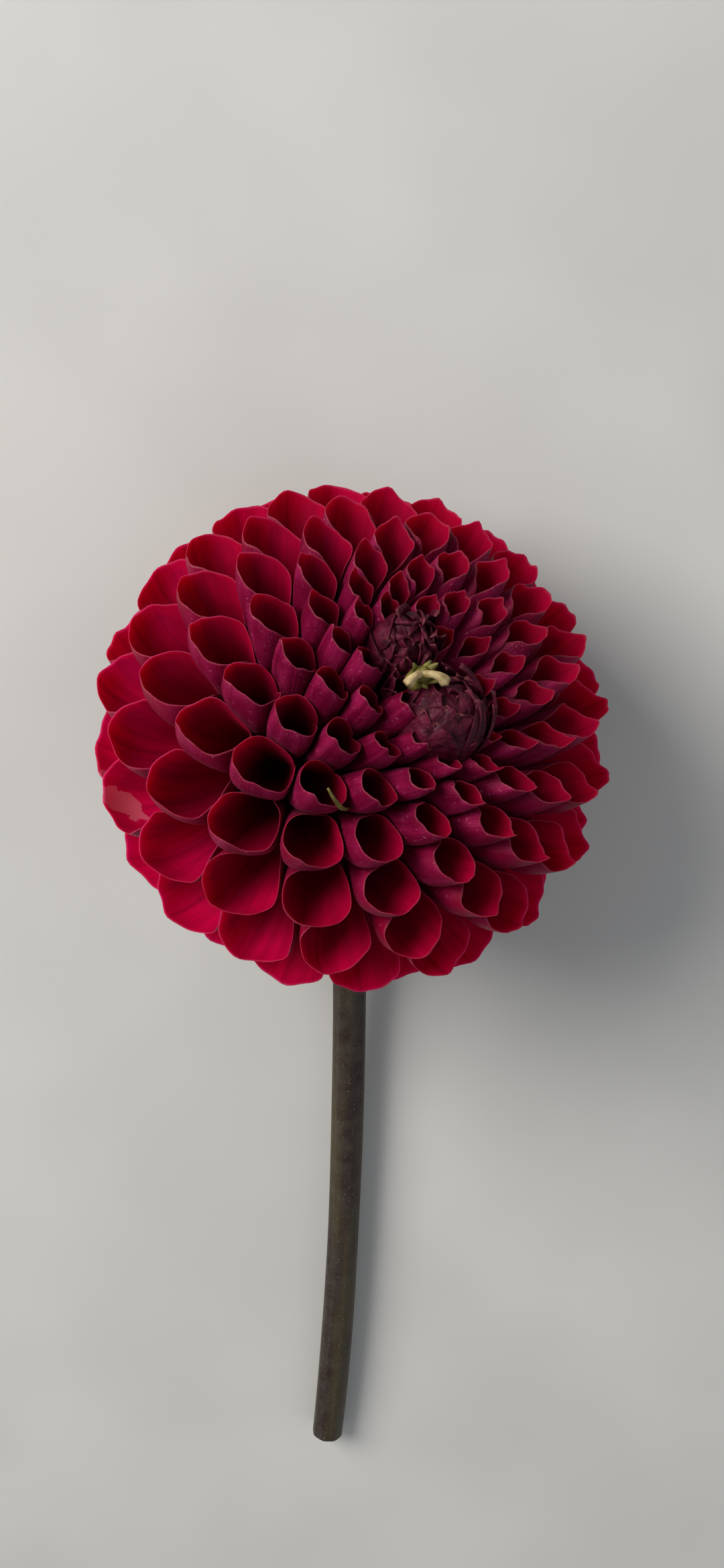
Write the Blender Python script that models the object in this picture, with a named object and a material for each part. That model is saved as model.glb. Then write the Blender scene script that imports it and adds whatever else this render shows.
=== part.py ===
"""A cut ball dahlia, lying on a surface with its face turned up.

Metres, +Z up. The origin is a flat spot on a low floret that the head rests on, and
the stem runs towards -Y. The head has two eyes side by side. Its florets are set out
on a ball by a spiral rule that winds round both eyes at once. Each floret is a cup
with an oblique mouth, whose highest point is on the side away from the eyes.
"""

import math
from collections import namedtuple

import bmesh
import bpy
import numpy as np
from mathutils import Matrix, Vector

MM = 0.001
SEED = 7
NEIGHBOURS = 9
CLEARANCE = 0.3 * MM

# The head: an oblate ball of florets round a smaller receptacle.
HEAD_CENTRE = np.array([5.11, -11.70, 41.0]) * MM
HEAD_RADIUS = 44.8 * MM
HEAD_FRONT = 37.0 * MM
HEAD_BACK = 38.5 * MM
EYE_HOLLOW = 4.5 * MM
EYE_HOLLOW_ANGLE = math.radians(24)
FACE_AXIS = (0.391, 0.478, 0.782)
NECK_AXIS = (0.03, 0.53, 0.85)
RECEPTACLE_RADIUS = 22.0 * MM
RECEPTACLE_DEPTH = 18.0 * MM
ROOT_DEPTH = 5.0 * MM
ROOT_FLATNESS = 0.8

# The spiral rule.
GOLDEN_ANGLE = math.radians(137.508)
SPIRAL_START = 0.4
EYE_TURN = math.radians(-58)
EYE_SPREAD = 0.086
EYE_SPOT_LIMIT = 0.0100
LAST_ANGLE = math.radians(155)
HEXAGON_SHARE = math.sqrt(3) / 2
SMALL_STEP = 1e-4

# How a floret changes from the eyes (0 degrees) to the stem (180 degrees).
AGE_DEGREES = (14, 25, 40, 60, 90, 150)
FLORET_PITCH = (5.8, 8.0, 11.0, 13.4, 15.4, 16.4)
FLORET_LEAN = (9, 6, 3, -2, -9, -20)
ROLL_SPREAD = 0.12
MOUTH_SHARE = (0.49, 0.52, 0.55, 0.58, 0.61, 0.62)
FLORET_SIDES = (6, 6, 6, 7, 7, 5)

# The form of a floret at the same ages: how much it narrows above its belly, how far it is
# rolled round, how high its low rim is, how evenly the rim falls, how far it reaches, how
# much its rim tilts to the light, and how far its tip bows over towards the eyes.
FLORET_FORM = {
    "belly": (7.0, 6.4, 5.6, 4.8, 4.0, 2.8),
    "wrap": (1.15, 1.12, 1.07, 1.01, 0.92, 0.80),
    "low_rim": (0.80, 0.77, 0.73, 0.68, 0.60, 0.50),
    "even_fall": (0.50, 0.50, 0.45, 0.35, 0.20, 0.10),
    "reach": (1.06, 1.07, 1.08, 1.08, 1.07, 1.08),
    "rim_tilt": (0.03, 0.04, 0.06, 0.07, 0.05, 0.02),
    "incurve": (-1.2, -0.6, 0.2, 1.0, 1.6, 1.2),
}
ROOT_SHIFT = np.array([-9.0, -4.0, -1.0]) * MM
ROOT_SHIFT_BY_AGE = (1.0, 1.0, 0.9, 0.55, 0.1, 0.0)
TUBE_SHARE = 0.22
RISE_POWER = 1.6
RIM_POWER = 0.45
BEND_FROM = 0.7
LIGHT_WAY = np.array([0.0, 1.0, 0.1])
LIGHT_BEND = 1.8
LIGHT_BEND_FROM = 0.5

# The florets right of the head's middle are rolled closed up to a narrow mouth.
CLOSED_FROM = 0.05
CLOSED_FULL = 0.40
CLOSED_BY_AGE = (1.0, 1.0, 0.9, 0.6, 0.05, 0.0)
CLOSED_RIM = 0.90
CLOSED_TAPER = 0.30

# The walls of the cups.
WALL = 0.8 * MM
WALL_GAP = 0.4 * MM
CUP_FLOOR = 0.45
WAIST = 0.62

# The eyes: closed buds of small overlapping scales.
BUD_SIDES = 12
BUD_RINGS = 7
LOWER_BUD = {"side": 1, "radius": 7.4 * MM, "height": 8.6 * MM, "scales": 17}
UPPER_BUD = {"side": -1, "radius": 5.3 * MM, "height": 7.8 * MM, "scales": 14}
BUD_LIFT = -3.2 * MM
BUD_LEAN = 0.6
SCALE_THICKNESS = 1.1 * MM
SCALE_STAND = 0.5 * MM
SCALE_SPREAD = math.radians(27)
SCALE_FROM = math.radians(10)
SCALE_RANGE = math.radians(82)

# Two disc florets and their chaff lie between the eyes.
DISC_RADIUS = 0.85 * MM
DISC_FLARE = 1.35
DISC_SIDES = 8
LUMP_RADIUS = 2.2 * MM
LUMP_HEIGHT = 3.6 * MM
LUMP_SUNK = 2.0 * MM
DISC_START = 4.2 * MM
DISC_OFFSET = np.array([-2.9, 0.0, 1.4]) * MM
DISC_LEANS = (((-0.9, -0.43, 0.2), 3.4 * MM), ((1.0, -0.24, -0.2), 4.2 * MM))

# One chaff blade comes up between the florets below the eyes and bends over.
CHAFF_SPOT = 0.203 - 0.285j
CHAFF_DEPTH = 2.0 * MM
CHAFF_LENGTH = 25.0 * MM
CHAFF_CURVE = 1.6
CHAFF_WAY = np.array([-0.42, 0.91, 0.0])
CHAFF_BOW = 9.0 * MM
CHAFF_SHARES = np.array([0.0, 0.35, 0.6, 0.8, 1.0])
CHAFF_WIDTHS = np.array([0.35, 0.6, 0.6, 0.5, 0.12]) * MM
CHAFF_THICKNESS = 0.7 * MM

# The stem, and the calyx that joins it to the head.
STEM_RADIUS = 3.75 * MM
STEM_END_RADIUS = 3.55 * MM
STEM_END = np.array([-1.29, -191.53, 3.3]) * MM
STEM_SAG = np.array([7.7, 75.0, 4.0]) * MM
STEM_TOP = 23.0 * MM
STEM_SIDES = 16
STEM_STEPS = 16
PITH_RADIUS = 1.2 * MM
PITH_DEPTH = 7.0 * MM
CALYX_TOP = 17.3 * MM
CALYX_SIDES = 16
CALYX_PROFILE = ((7.6, 17.6), (8.8, 19.0), (7.4, 21.2), (4.6, 22.7))
INNER_BRACTS = 8
INNER_PATH = np.array([(6.0, 18.6), (9.4, 18.6), (11.4, 18.9)])
INNER_WIDTHS = np.array([2.6, 2.9, 0.9])
INNER_THICKNESS = np.array([0.8, 0.6, 0.35])
OUTER_BRACTS = 6
OUTER_PATH = np.array([(5.0, 20.6), (8.6, 20.8), (10.6, 23.2), (10.4, 27.0), (9.6, 29.5)])
OUTER_WIDTHS = np.array([1.8, 2.5, 2.7, 1.9, 0.5])
OUTER_THICKNESS = np.array([0.9, 0.8, 0.7, 0.55, 0.35])
BACK_OPENING = 12.0 * MM

Floret = namedtuple(
    "Floret",
    "root axis inward side length mouth closed angle sides near_roots near_axes near_shares",
)


def unit(vectors):
    """Each row scaled to length one."""
    return vectors / np.linalg.norm(vectors, axis=-1, keepdims=True)


FACE = unit(np.array(FACE_AXIS))
NECK = unit(np.array(NECK_AXIS))


# Helpers for meshes and Booleans


def clear_scene():
    for thing in list(bpy.data.objects):
        bpy.data.objects.remove(thing)


def add_mesh(name, points, faces):
    """A closed mesh object, with its faces turned outwards."""
    mesh = bpy.data.meshes.new(name)
    mesh.from_pydata([tuple(map(float, point)) for point in points], [], faces)
    shell = bmesh.new()
    shell.from_mesh(mesh)
    bmesh.ops.recalc_face_normals(shell, faces=shell.faces)
    bmesh.ops.triangulate(shell, faces=shell.faces)
    shell.to_mesh(mesh)
    shell.free()
    thing = bpy.data.objects.new(name, mesh)
    bpy.context.scene.collection.objects.link(thing)
    return thing


def skin(name, rings):
    """A closed solid through rings of points; a ring of one point is a pole."""
    points = np.concatenate(rings)
    starts = np.cumsum([0] + [len(ring) for ring in rings])
    faces = []
    for low, high, first, second in zip(rings, rings[1:], starts, starts[1:]):
        count = max(len(low), len(high))
        for here in range(count):
            there = (here + 1) % count
            if len(low) == 1:
                faces.append((first, second + there, second + here))
            elif len(high) == 1:
                faces.append((first + here, first + there, second))
            else:
                faces.append((first + here, first + there, second + there, second + here))
    if len(rings[0]) > 1:
        faces.append(tuple(range(len(rings[0])))[::-1])
    if len(rings[-1]) > 1:
        faces.append(tuple(range(starts[-2], starts[-1])))
    return add_mesh(name, points, faces)


def combine(base, others, operation, solver="EXACT"):
    """Applies one Boolean of a whole list of objects to the base, then removes them."""
    group = bpy.data.collections.new(base.name + "_others")
    for other in others:
        group.objects.link(other)
    change = base.modifiers.new(operation, "BOOLEAN")
    change.operation = operation
    change.operand_type = "COLLECTION"
    change.collection = group
    change.solver = solver
    graph = bpy.context.evaluated_depsgraph_get()
    result = bpy.data.meshes.new_from_object(base.evaluated_get(graph))
    base.modifiers.clear()
    base.data = result
    for other in others:
        bpy.data.objects.remove(other)
    bpy.data.collections.remove(group)
    return base


def keep_largest_body(thing):
    """Drops loose scraps and the inner skins of sealed hollows."""
    shell = bmesh.new()
    shell.from_mesh(thing.data)
    waiting = set(shell.verts)
    bodies = []
    while waiting:
        body = {waiting.pop()}
        edge = list(body)
        while edge:
            vertex = edge.pop()
            near = {link.other_vert(vertex) for link in vertex.link_edges} - body
            body |= near
            edge.extend(near)
        waiting -= body
        bodies.append(body)
    largest = max(bodies, key=len)
    bmesh.ops.delete(shell, geom=[v for v in shell.verts if v not in largest], context="VERTS")
    shell.to_mesh(thing.data)
    shell.free()


def finish(thing, colour, roughness, smooth=True):
    """Gives a finished node its own material."""
    material = bpy.data.materials.new(thing.name)
    material.use_nodes = True
    shader = material.node_tree.nodes["Principled BSDF"]
    shader.inputs["Base Color"].default_value = (*colour, 1.0)
    shader.inputs["Roughness"].default_value = roughness
    shader.inputs["Metallic"].default_value = 0.0
    thing.data.materials.clear()
    thing.data.materials.append(material)
    thing.data.polygons.foreach_set("use_smooth", [smooth] * len(thing.data.polygons))


def below_surface():
    """A slab under the surface that cuts flat spots for the flower to rest on."""
    bpy.ops.mesh.primitive_cube_add(size=1.0)
    slab = bpy.context.object
    slab.data.transform(Matrix.Diagonal((0.6, 0.6, 0.04, 1.0)))
    slab.data.transform(Matrix.Translation((0.0, 0.0, -0.02)))
    return slab


# The ball and the spiral


def by_age(angle, values):
    """A property that changes along AGE_DEGREES, read at an angle from the eyes."""
    return np.interp(np.degrees(angle), AGE_DEGREES, values)


def angle_from_eyes(spot):
    """A spot is a complex number, the stereographic picture of a point on the ball."""
    return 2 * np.arctan(np.abs(spot))


def ball_point(spot, radius=HEAD_RADIUS, front=HEAD_FRONT, back=HEAD_BACK, hollow=EYE_HOLLOW):
    """The point of an oblate ball at each spot; its axis bends from face to neck."""
    polar = angle_from_eyes(spot)
    turn = np.angle(spot) + EYE_TURN
    share = ((1 + np.cos(polar)) / 2)[:, None]
    axis = unit(FACE * share + NECK * (1 - share))
    side = unit(np.array([1.0, 0.0, 0.0]) - axis * axis[:, :1])
    up = np.cross(axis, side)
    radial = side * np.cos(turn)[:, None] + up * np.sin(turn)[:, None]
    height = np.cos(polar) * np.where(polar < math.pi / 2, front, back)
    height = height - hollow * np.exp(-((polar / EYE_HOLLOW_ANGLE) ** 2))
    return HEAD_CENTRE + radial * (np.sin(polar) * radius)[:, None] + axis * height[:, None]


def root_point(spot, depth):
    """A point under the skin of the receptacle, for each spot."""
    radius = RECEPTACLE_RADIUS - depth
    return ball_point(spot, radius, radius * ROOT_FLATNESS, radius * ROOT_FLATNESS, 0.0)


def spiral_spots():
    """A golden-angle spiral, unfolded by a square root so that it winds round two eyes."""
    angles = np.linspace(0.001, LAST_ANGLE, 4000)
    pitch = by_age(angles, FLORET_PITCH) * MM
    crowding = math.pi * HEAD_RADIUS**2 * np.sin(angles) / (HEXAGON_SHARE * pitch**2)
    count = np.cumsum(crowding) * (angles[1] - angles[0])
    order = np.arange(int(count[-1]))
    reach = np.tan(np.interp(order + 0.5, count, angles) / 2) ** 2
    folded = reach * np.exp(1j * (order * GOLDEN_ANGLE + SPIRAL_START))
    folded = folded[np.abs(folded) > EYE_SPOT_LIMIT]
    spots = np.sqrt(folded + EYE_SPREAD**2)
    return np.concatenate([spots, -spots]), np.concatenate([folded, folded])


def all_florets():
    """Every floret's root, direction and size, from its place in the spiral."""
    rng = np.random.default_rng(SEED)
    spots, folded = spiral_spots()
    toward = -folded * np.conj(spots)
    toward = toward / np.abs(toward)
    angles = angle_from_eyes(spots)
    tips = ball_point(spots)
    inward = unit(ball_point(spots + toward * SMALL_STEP) - tips)
    apart = np.linalg.norm(tips[:, None] - tips[None], axis=2)
    nearest = np.argsort(apart, axis=1)[:, 1 : NEIGHBOURS + 1]
    pitch = np.take_along_axis(apart, nearest, axis=1)[:, :5].mean(axis=1)
    mouths = pitch * by_age(angles, MOUTH_SHARE)
    shift = np.tan(np.radians(by_age(angles, FLORET_LEAN)) / 2) * (1 + np.abs(spots) ** 2)
    roots = root_point(spots - toward * shift, ROOT_DEPTH)
    roots = roots + np.outer(by_age(angles, ROOT_SHIFT_BY_AGE), ROOT_SHIFT)
    axes = unit(tips - roots)
    right = (tips - HEAD_CENTRE)[:, 0] / HEAD_RADIUS
    closed = np.clip((right - CLOSED_FROM) / (CLOSED_FULL - CLOSED_FROM), 0.0, 1.0)
    closed = closed * by_age(angles, CLOSED_BY_AGE)
    rolls = rng.normal(0.0, ROLL_SPREAD, len(spots))
    florets = []
    for index, roll in enumerate(rolls):
        axis = axes[index]
        near = nearest[index]
        inner = unit(inward[index] - axis * (inward[index] @ axis))
        side = np.cross(axis, inner)
        florets.append(
            Floret(
                root=roots[index],
                axis=axis,
                inward=inner * math.cos(roll) + side * math.sin(roll),
                side=side * math.cos(roll) - inner * math.sin(roll),
                length=np.linalg.norm(tips[index] - roots[index]),
                mouth=mouths[index],
                closed=closed[index],
                angle=angles[index],
                sides=int(by_age(angles[index], FLORET_SIDES)),
                near_roots=roots[near],
                near_axes=axes[near],
                near_shares=mouths[index] / (mouths[index] + mouths[near]),
            )
        )
    return florets


# One floret


def shape_of(floret, name):
    """A form value at the floret's age."""
    return by_age(floret.angle, FLORET_FORM[name])


def outward_at(floret, turn):
    """The way out of the floret at each turn, which is zero on the side away from the eyes."""
    return np.outer(-np.cos(turn), floret.inward) + np.outer(np.sin(turn), floret.side)


def light_on(floret):
    """The way to the light, at right angles to the floret."""
    return LIGHT_WAY - floret.axis * (LIGHT_WAY @ floret.axis)


def width_at(floret, along):
    """The floret's radius: it widens from the root to a belly, then narrows a little."""
    belly = shape_of(floret, "belly")
    widest = RISE_POWER * (1 + belly) / ((1 + RISE_POWER) * belly)
    peak = widest**RISE_POWER * (1 + belly * (1 - widest))
    rise = along**RISE_POWER * (1 + belly * (1 - along)) / peak
    taper = 1 - CLOSED_TAPER * floret.closed * np.clip(along, 0.0, 1.0) ** 4
    return floret.mouth * (TUBE_SHARE + (1 - TUBE_SHARE) * rise) * taper


def rim_at(floret, turn):
    """How far along the floret its rim is. It is highest at the tip and on the shaded side,
    and lowest by the eyes."""
    low = shape_of(floret, "low_rim")
    low = low + (CLOSED_RIM - low) * floret.closed
    even = shape_of(floret, "even_fall")
    folded = np.clip(np.abs(turn) / (math.pi * shape_of(floret, "wrap")), 0.0, 1.0)
    rounded = np.sqrt(1 - folded ** (1 / RIM_POWER))
    level = (1 - even) * rounded + even * (1 + np.cos(folded * math.pi)) / 2
    shaded = -outward_at(floret, turn) @ light_on(floret)
    return low + (1 - low) * level + shape_of(floret, "rim_tilt") * shaded * (1 - folded**4)


def middle_at(floret, along):
    """The floret's middle line, which bows over towards the eyes or away near its tip."""
    bend = np.clip(along - BEND_FROM, 0.0, 1.0) ** 2
    bend = bend * floret.mouth * shape_of(floret, "incurve")
    reach = along * floret.length * shape_of(floret, "reach")
    return floret.root + np.outer(reach, floret.axis) + np.outer(bend, floret.inward)


def wall_points(floret, along, turn, inside=False):
    """Points of the wall. It is pressed flat where it would cross a neighbour's wall, and
    its mouth bends up to the light."""
    middle = middle_at(floret, along)
    outward = outward_at(floret, turn)
    shift = middle[:, None] - floret.near_roots
    level = (shift * floret.near_axes).sum(axis=2, keepdims=True)
    across = floret.near_roots + floret.near_axes * level - middle[:, None]
    apart = np.linalg.norm(across, axis=2)
    facing = (across * outward[:, None]).sum(axis=2) / apart
    room = (floret.near_shares * apart / np.maximum(facing, 0.05)).min(axis=1) - WALL_GAP / 2
    width = np.minimum(width_at(floret, along), room)
    if inside:
        width = np.maximum(width - WALL, 0.3 * width)
    lift = LIGHT_BEND * floret.mouth * np.clip(along - LIGHT_BEND_FROM, 0.0, 1.0) ** 2
    return middle + outward * width[:, None] + np.outer(lift, light_on(floret))


def add_floret(floret):
    """A closed cup: root, waist, outer rim, inner rim and floor."""
    turn = np.arange(floret.sides) * 2 * math.pi / floret.sides
    turn = np.where(turn > math.pi, turn - 2 * math.pi, turn)
    rim = rim_at(floret, turn)
    rings = [floret.root[None]]
    rings.append(wall_points(floret, rim * WAIST, turn))
    rings.append(wall_points(floret, rim, turn))
    rings.append(wall_points(floret, rim, turn, inside=True))
    rings.append(middle_at(floret, np.array([rim.min() * CUP_FLOOR])))
    return skin("floret", rings)


# The bloom


def frame_matrix(origin, axis):
    """A matrix that puts the origin at a point, with its Z along an axis."""
    turn = Vector(axis).to_track_quat("Z", "Y").to_matrix().to_4x4()
    return Matrix.Translation(Vector(origin)) @ turn


def add_ellipsoid(name, origin, axis, radius, height, segments=16, rings=10):
    bpy.ops.mesh.primitive_uv_sphere_add(segments=segments, ring_count=rings, radius=1.0)
    ball = bpy.context.object
    ball.name = name
    ball.data.transform(Matrix.Diagonal((radius, radius, height, 1.0)))
    ball.data.transform(frame_matrix(origin, axis))
    return ball


def add_cylinder(name, start, axis, radius, length, sides):
    bpy.ops.mesh.primitive_cylinder_add(vertices=sides, radius=radius, depth=length)
    bar = bpy.context.object
    bar.name = name
    bar.data.transform(Matrix.Translation((0.0, 0.0, length / 2)))
    bar.data.transform(frame_matrix(start, axis))
    return bar


def stem_line(shares):
    """The stem's middle line, a cubic curve from the calyx to the cut end."""
    start = HEAD_CENTRE - NECK * STEM_TOP
    controls = (start, start - NECK * STEM_TOP, STEM_END + STEM_SAG, STEM_END)
    weights = (
        (1 - shares) ** 3,
        3 * (1 - shares) ** 2 * shares,
        3 * (1 - shares) * shares**2,
        shares**3,
    )
    return sum(np.multiply.outer(weight, point) for weight, point in zip(weights, controls))


def clears_stem(floret):
    """Whether the floret's rim stays clear of the stem."""
    turn = np.linspace(-math.pi, math.pi, 17)
    points = wall_points(floret, rim_at(floret, turn), turn)
    line = stem_line(np.linspace(0.0, 1.0, 80))
    apart = np.linalg.norm(points[:, None] - line[None], axis=2)
    return apart.min() > STEM_RADIUS + 3 * CLEARANCE


def make_bloom(cutters):
    """All the florets fused on the receptacle, cut clear of the neighbouring nodes."""
    receptacle = add_ellipsoid("bloom", HEAD_CENTRE, NECK, RECEPTACLE_RADIUS, RECEPTACLE_DEPTH)
    cups = [add_floret(floret) for floret in all_florets() if clears_stem(floret)]
    bloom = combine(receptacle, cups, "UNION", "MANIFOLD")
    combine(bloom, cutters + [below_surface()], "DIFFERENCE", "MANIFOLD")
    keep_largest_body(bloom)
    finish(bloom, (0.20, 0.0, 0.012), 0.55)
    return bloom


# The eye buds


def eye_frame(bud):
    """The middle of a bud, and the way that it faces."""
    eye = ball_point(np.array([bud["side"] * EYE_SPREAD + 0j]))[0]
    axis = unit(unit(eye - HEAD_CENTRE) + BUD_LEAN * FACE)
    return eye + axis * BUD_LIFT, axis


def across(axis):
    """Two directions at right angles to an axis and to each other."""
    helper = np.eye(3)[np.argmin(np.abs(axis))]
    side = unit(np.cross(axis, helper))
    return side, np.cross(axis, side)


def bud_scale(bud, index):
    """One pointed scale that lies on the dome, its tip towards the top and standing off."""
    origin, axis = eye_frame(bud)
    side, up = across(axis)
    share = (index + 0.6) / bud["scales"]
    middle = SCALE_FROM + SCALE_RANGE * share**0.62
    reach = math.radians(24 + 16 * share)
    spread = SCALE_SPREAD / max(math.sin(middle), 0.4)
    base = (middle + reach, 0.0, -SCALE_THICKNESS)
    left = (middle, -spread, -0.1 * SCALE_THICKNESS)
    tip = (middle - reach, 0.0, SCALE_STAND)
    right = (middle, spread, -0.1 * SCALE_THICKNESS)
    ridge = (middle, 0.0, SCALE_THICKNESS * 0.45)
    keel = (middle, 0.0, -2 * SCALE_THICKNESS)
    points = []
    for polar, swing, rise in (base, left, tip, right, ridge, keel):
        turn = index * GOLDEN_ANGLE + swing
        flat = side * math.cos(turn) + up * math.sin(turn)
        over = flat * math.sin(polar) * (bud["radius"] + rise)
        points.append(origin + over + axis * math.cos(polar) * (bud["height"] + rise))
    faces = [(0, 1, 4), (1, 2, 4), (2, 3, 4), (3, 0, 4), (1, 0, 5), (2, 1, 5), (3, 2, 5), (0, 3, 5)]
    return add_mesh("scale", points, faces)


def make_bud(name, bud, colour):
    """A dome with its scales fused on in a spiral."""
    origin, axis = eye_frame(bud)
    dome = add_ellipsoid(name, origin, axis, bud["radius"], bud["height"], BUD_SIDES, BUD_RINGS)
    scales = [bud_scale(bud, index) for index in range(bud["scales"])]
    combine(dome, scales, "UNION")
    combine(dome, disc_parts(CLEARANCE), "DIFFERENCE")
    keep_largest_body(dome)
    finish(dome, colour, 0.45)
    return dome


def bud_cutter(bud):
    """Room for a bud and its scales."""
    origin, axis = eye_frame(bud)
    grow = SCALE_THICKNESS + CLEARANCE
    return add_ellipsoid("bud_room", origin, axis, bud["radius"] + grow, bud["height"] + grow)


# The disc florets and the chaff


def tube_along(name, line, radii, sides):
    """A solid bar along a line of points, with a radius at each point."""
    rings = []
    tangents = unit(np.gradient(line, axis=0))
    side, _ = across(tangents[0])
    for point, tangent, radius in zip(line, tangents, radii):
        side = unit(side - tangent * (side @ tangent))
        up = np.cross(tangent, side)
        turn = np.arange(sides) * 2 * math.pi / sides
        rings.append(point + radius * (np.outer(np.cos(turn), side) + np.outer(np.sin(turn), up)))
    return skin(name, rings)


def disc_base():
    """The point between the eyes that the disc florets grow from."""
    return ball_point(np.array([0j]))[0] + FACE * DISC_START + DISC_OFFSET


def disc_line(direction, length):
    """A bowed line that rises from between the eyes and leans out to one side."""
    shares = np.linspace(0.0, 1.0, 5)
    start = disc_base()
    lean = unit(np.array(direction) - FACE * (np.array(direction) @ FACE))
    along = np.outer(shares * length, lean)
    rise = np.outer(np.sin(shares * math.pi * 0.75) * length * 0.45, FACE)
    return start + along + rise


def disc_parts(grow):
    """Both disc florets and the lump that they grow from, made wider by a clearance."""
    flare = np.array([1.0, 0.95, 1.0, 1.15, DISC_FLARE])
    parts = []
    for direction, length in DISC_LEANS:
        line = disc_line(direction, length + grow)
        parts.append(tube_along("disc", line, DISC_RADIUS * flare + grow, DISC_SIDES))
    middle = disc_base() - FACE * LUMP_SUNK
    lump = add_ellipsoid("lump", middle, FACE, LUMP_RADIUS + grow, LUMP_HEIGHT + grow, 10, 6)
    parts.append(lump)
    return parts


def make_disc_florets():
    base, *others = disc_parts(0.0)
    base.name = "disc_florets"
    combine(base, others, "UNION")
    hollows = []
    for direction, length in DISC_LEANS:
        line = disc_line(direction, length)
        hollows.append(
            add_cylinder("hollow", line[-1], line[-2] - line[-1], DISC_RADIUS * 0.8, 1.2 * MM, DISC_SIDES)
        )
    for hollow, (direction, length) in zip(hollows, DISC_LEANS):
        line = disc_line(direction, length)
        hollow.data.transform(Matrix.Translation(Vector(unit(line[-1] - line[-2]) * 0.2 * MM)))
    combine(base, hollows, "DIFFERENCE")
    keep_largest_body(base)
    finish(base, (0.55, 0.36, 0.16), 0.6)
    return base


def chaff_line():
    """The blade's line, up from its root and over to one side, and the way across it."""
    spot = np.array([CHAFF_SPOT])
    root = root_point(spot, CHAFF_DEPTH)[0]
    axis = unit(ball_point(spot)[0] - root)
    over = unit(CHAFF_WAY - axis * (CHAFF_WAY @ axis))
    rise = np.outer((1 - (1 - CHAFF_SHARES) ** CHAFF_CURVE) * CHAFF_LENGTH, axis)
    return root + rise + np.outer(CHAFF_BOW * CHAFF_SHARES**3, over), np.cross(axis, over)


def chaff_rings(grow):
    """A narrow pointed blade, as rings of four points, made larger by a clearance."""
    line, flat = chaff_line()
    tangents = unit(np.gradient(line, axis=0))
    line[0] -= tangents[0] * grow
    line[-1] += tangents[-1] * grow
    rings = []
    for point, tangent, width in zip(line, tangents, CHAFF_WIDTHS):
        half = width + grow
        deep = CHAFF_THICKNESS / 2 + grow
        thin = np.cross(tangent, flat)
        rings.append(point + np.array([flat * half, thin * deep, -flat * half, -thin * deep]))
    return rings


def make_chaff():
    blade = skin("chaff_scale", chaff_rings(0.0))
    finish(blade, (0.35, 0.38, 0.08), 0.6)
    return blade


# The calyx and the stem


def bract(turn, path, widths, thickness):
    """A blade that follows a path of (outward, backward) steps, as rings of four points."""
    side, up = across(NECK)
    out = side * math.cos(turn) + up * math.sin(turn)
    wide = np.cross(NECK, out)
    line = HEAD_CENTRE + np.outer(path[:, 0], out) - np.outer(path[:, 1], NECK)
    tangents = unit(np.gradient(line, axis=0))
    thin = np.cross(tangents, wide)
    rings = []
    for point, normal, width, deep in zip(line, thin, widths, thickness):
        rings.append(point + np.array([wide * width, normal * deep, -wide * width, -normal * deep]))
    return skin("bract", rings)


def make_calyx():
    """The green underside of the head: a shallow cup, flat inner bracts, reflexed outer ones."""
    side, up = across(NECK)
    turn = np.arange(CALYX_SIDES) * 2 * math.pi / CALYX_SIDES
    circle = np.outer(np.cos(turn), side) + np.outer(np.sin(turn), up)
    rings = [HEAD_CENTRE - NECK * back * MM + circle * radius * MM for radius, back in CALYX_PROFILE]
    cup = skin("calyx", rings)
    bracts = []
    for index in range(INNER_BRACTS):
        angle = (index + 0.5) * 2 * math.pi / INNER_BRACTS
        bracts.append(bract(angle, INNER_PATH * MM, INNER_WIDTHS * MM, INNER_THICKNESS * MM))
    for index in range(OUTER_BRACTS):
        angle = index * 2 * math.pi / OUTER_BRACTS
        bracts.append(bract(angle, OUTER_PATH * MM, OUTER_WIDTHS * MM, OUTER_THICKNESS * MM))
    combine(cup, bracts, "UNION")
    keep_largest_body(cup)
    finish(cup, (0.10, 0.16, 0.03), 0.5)
    return cup


def make_stem():
    """A ribbed stem that leaves the calyx, bends over and runs to its cut, hollow end."""
    shares = np.linspace(0.0, 1.0, STEM_STEPS) ** 1.15
    line = stem_line(shares)
    tangents = unit(np.gradient(line, axis=0))
    tangents[0] = -NECK
    side = unit(np.array([1.0, 0.0, 0.0]) - tangents * tangents[:, :1])
    up = np.cross(tangents, side)
    turn = np.arange(STEM_SIDES) * 2 * math.pi / STEM_SIDES
    ribs = np.where(np.arange(STEM_SIDES) % 2, 1.0, 0.97)[:, None]
    rings = []
    for index, share in enumerate(shares):
        swell = 1 + 0.16 * math.exp(-((share / 0.05) ** 2))
        radius = swell * (STEM_RADIUS + (STEM_END_RADIUS - STEM_RADIUS) * share)
        circle = np.outer(np.cos(turn), side[index]) + np.outer(np.sin(turn), up[index])
        rings.append(line[index] + radius * ribs * circle)
    circle = np.outer(np.cos(turn), side[-1]) + np.outer(np.sin(turn), up[-1])
    rings.append(line[-1] + PITH_RADIUS * circle)
    rings.append(line[-1:] - tangents[-1:] * PITH_DEPTH)
    stem = skin("stem", rings)
    combine(stem, [below_surface()], "DIFFERENCE")
    finish(stem, (0.04, 0.03, 0.02), 0.5)
    return stem


def main():
    clear_scene()
    cutters = [bud_cutter(LOWER_BUD), bud_cutter(UPPER_BUD)]
    cutters += disc_parts(CLEARANCE)
    cutters.append(skin("chaff_room", chaff_rings(CLEARANCE)))
    cutters.append(
        add_cylinder("back_room", HEAD_CENTRE - NECK * CALYX_TOP, -NECK, BACK_OPENING, 0.05, 24)
    )
    make_bloom(cutters)
    make_bud("lower_eye_bud", LOWER_BUD, (0.045, 0.006, 0.018))
    make_bud("upper_eye_bud", UPPER_BUD, (0.035, 0.005, 0.014))
    make_disc_florets()
    make_chaff()
    make_calyx()
    make_stem()


main()
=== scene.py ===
"""The looks of a cut ball dahlia that lies on a pale surface with its face turned up."""

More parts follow.
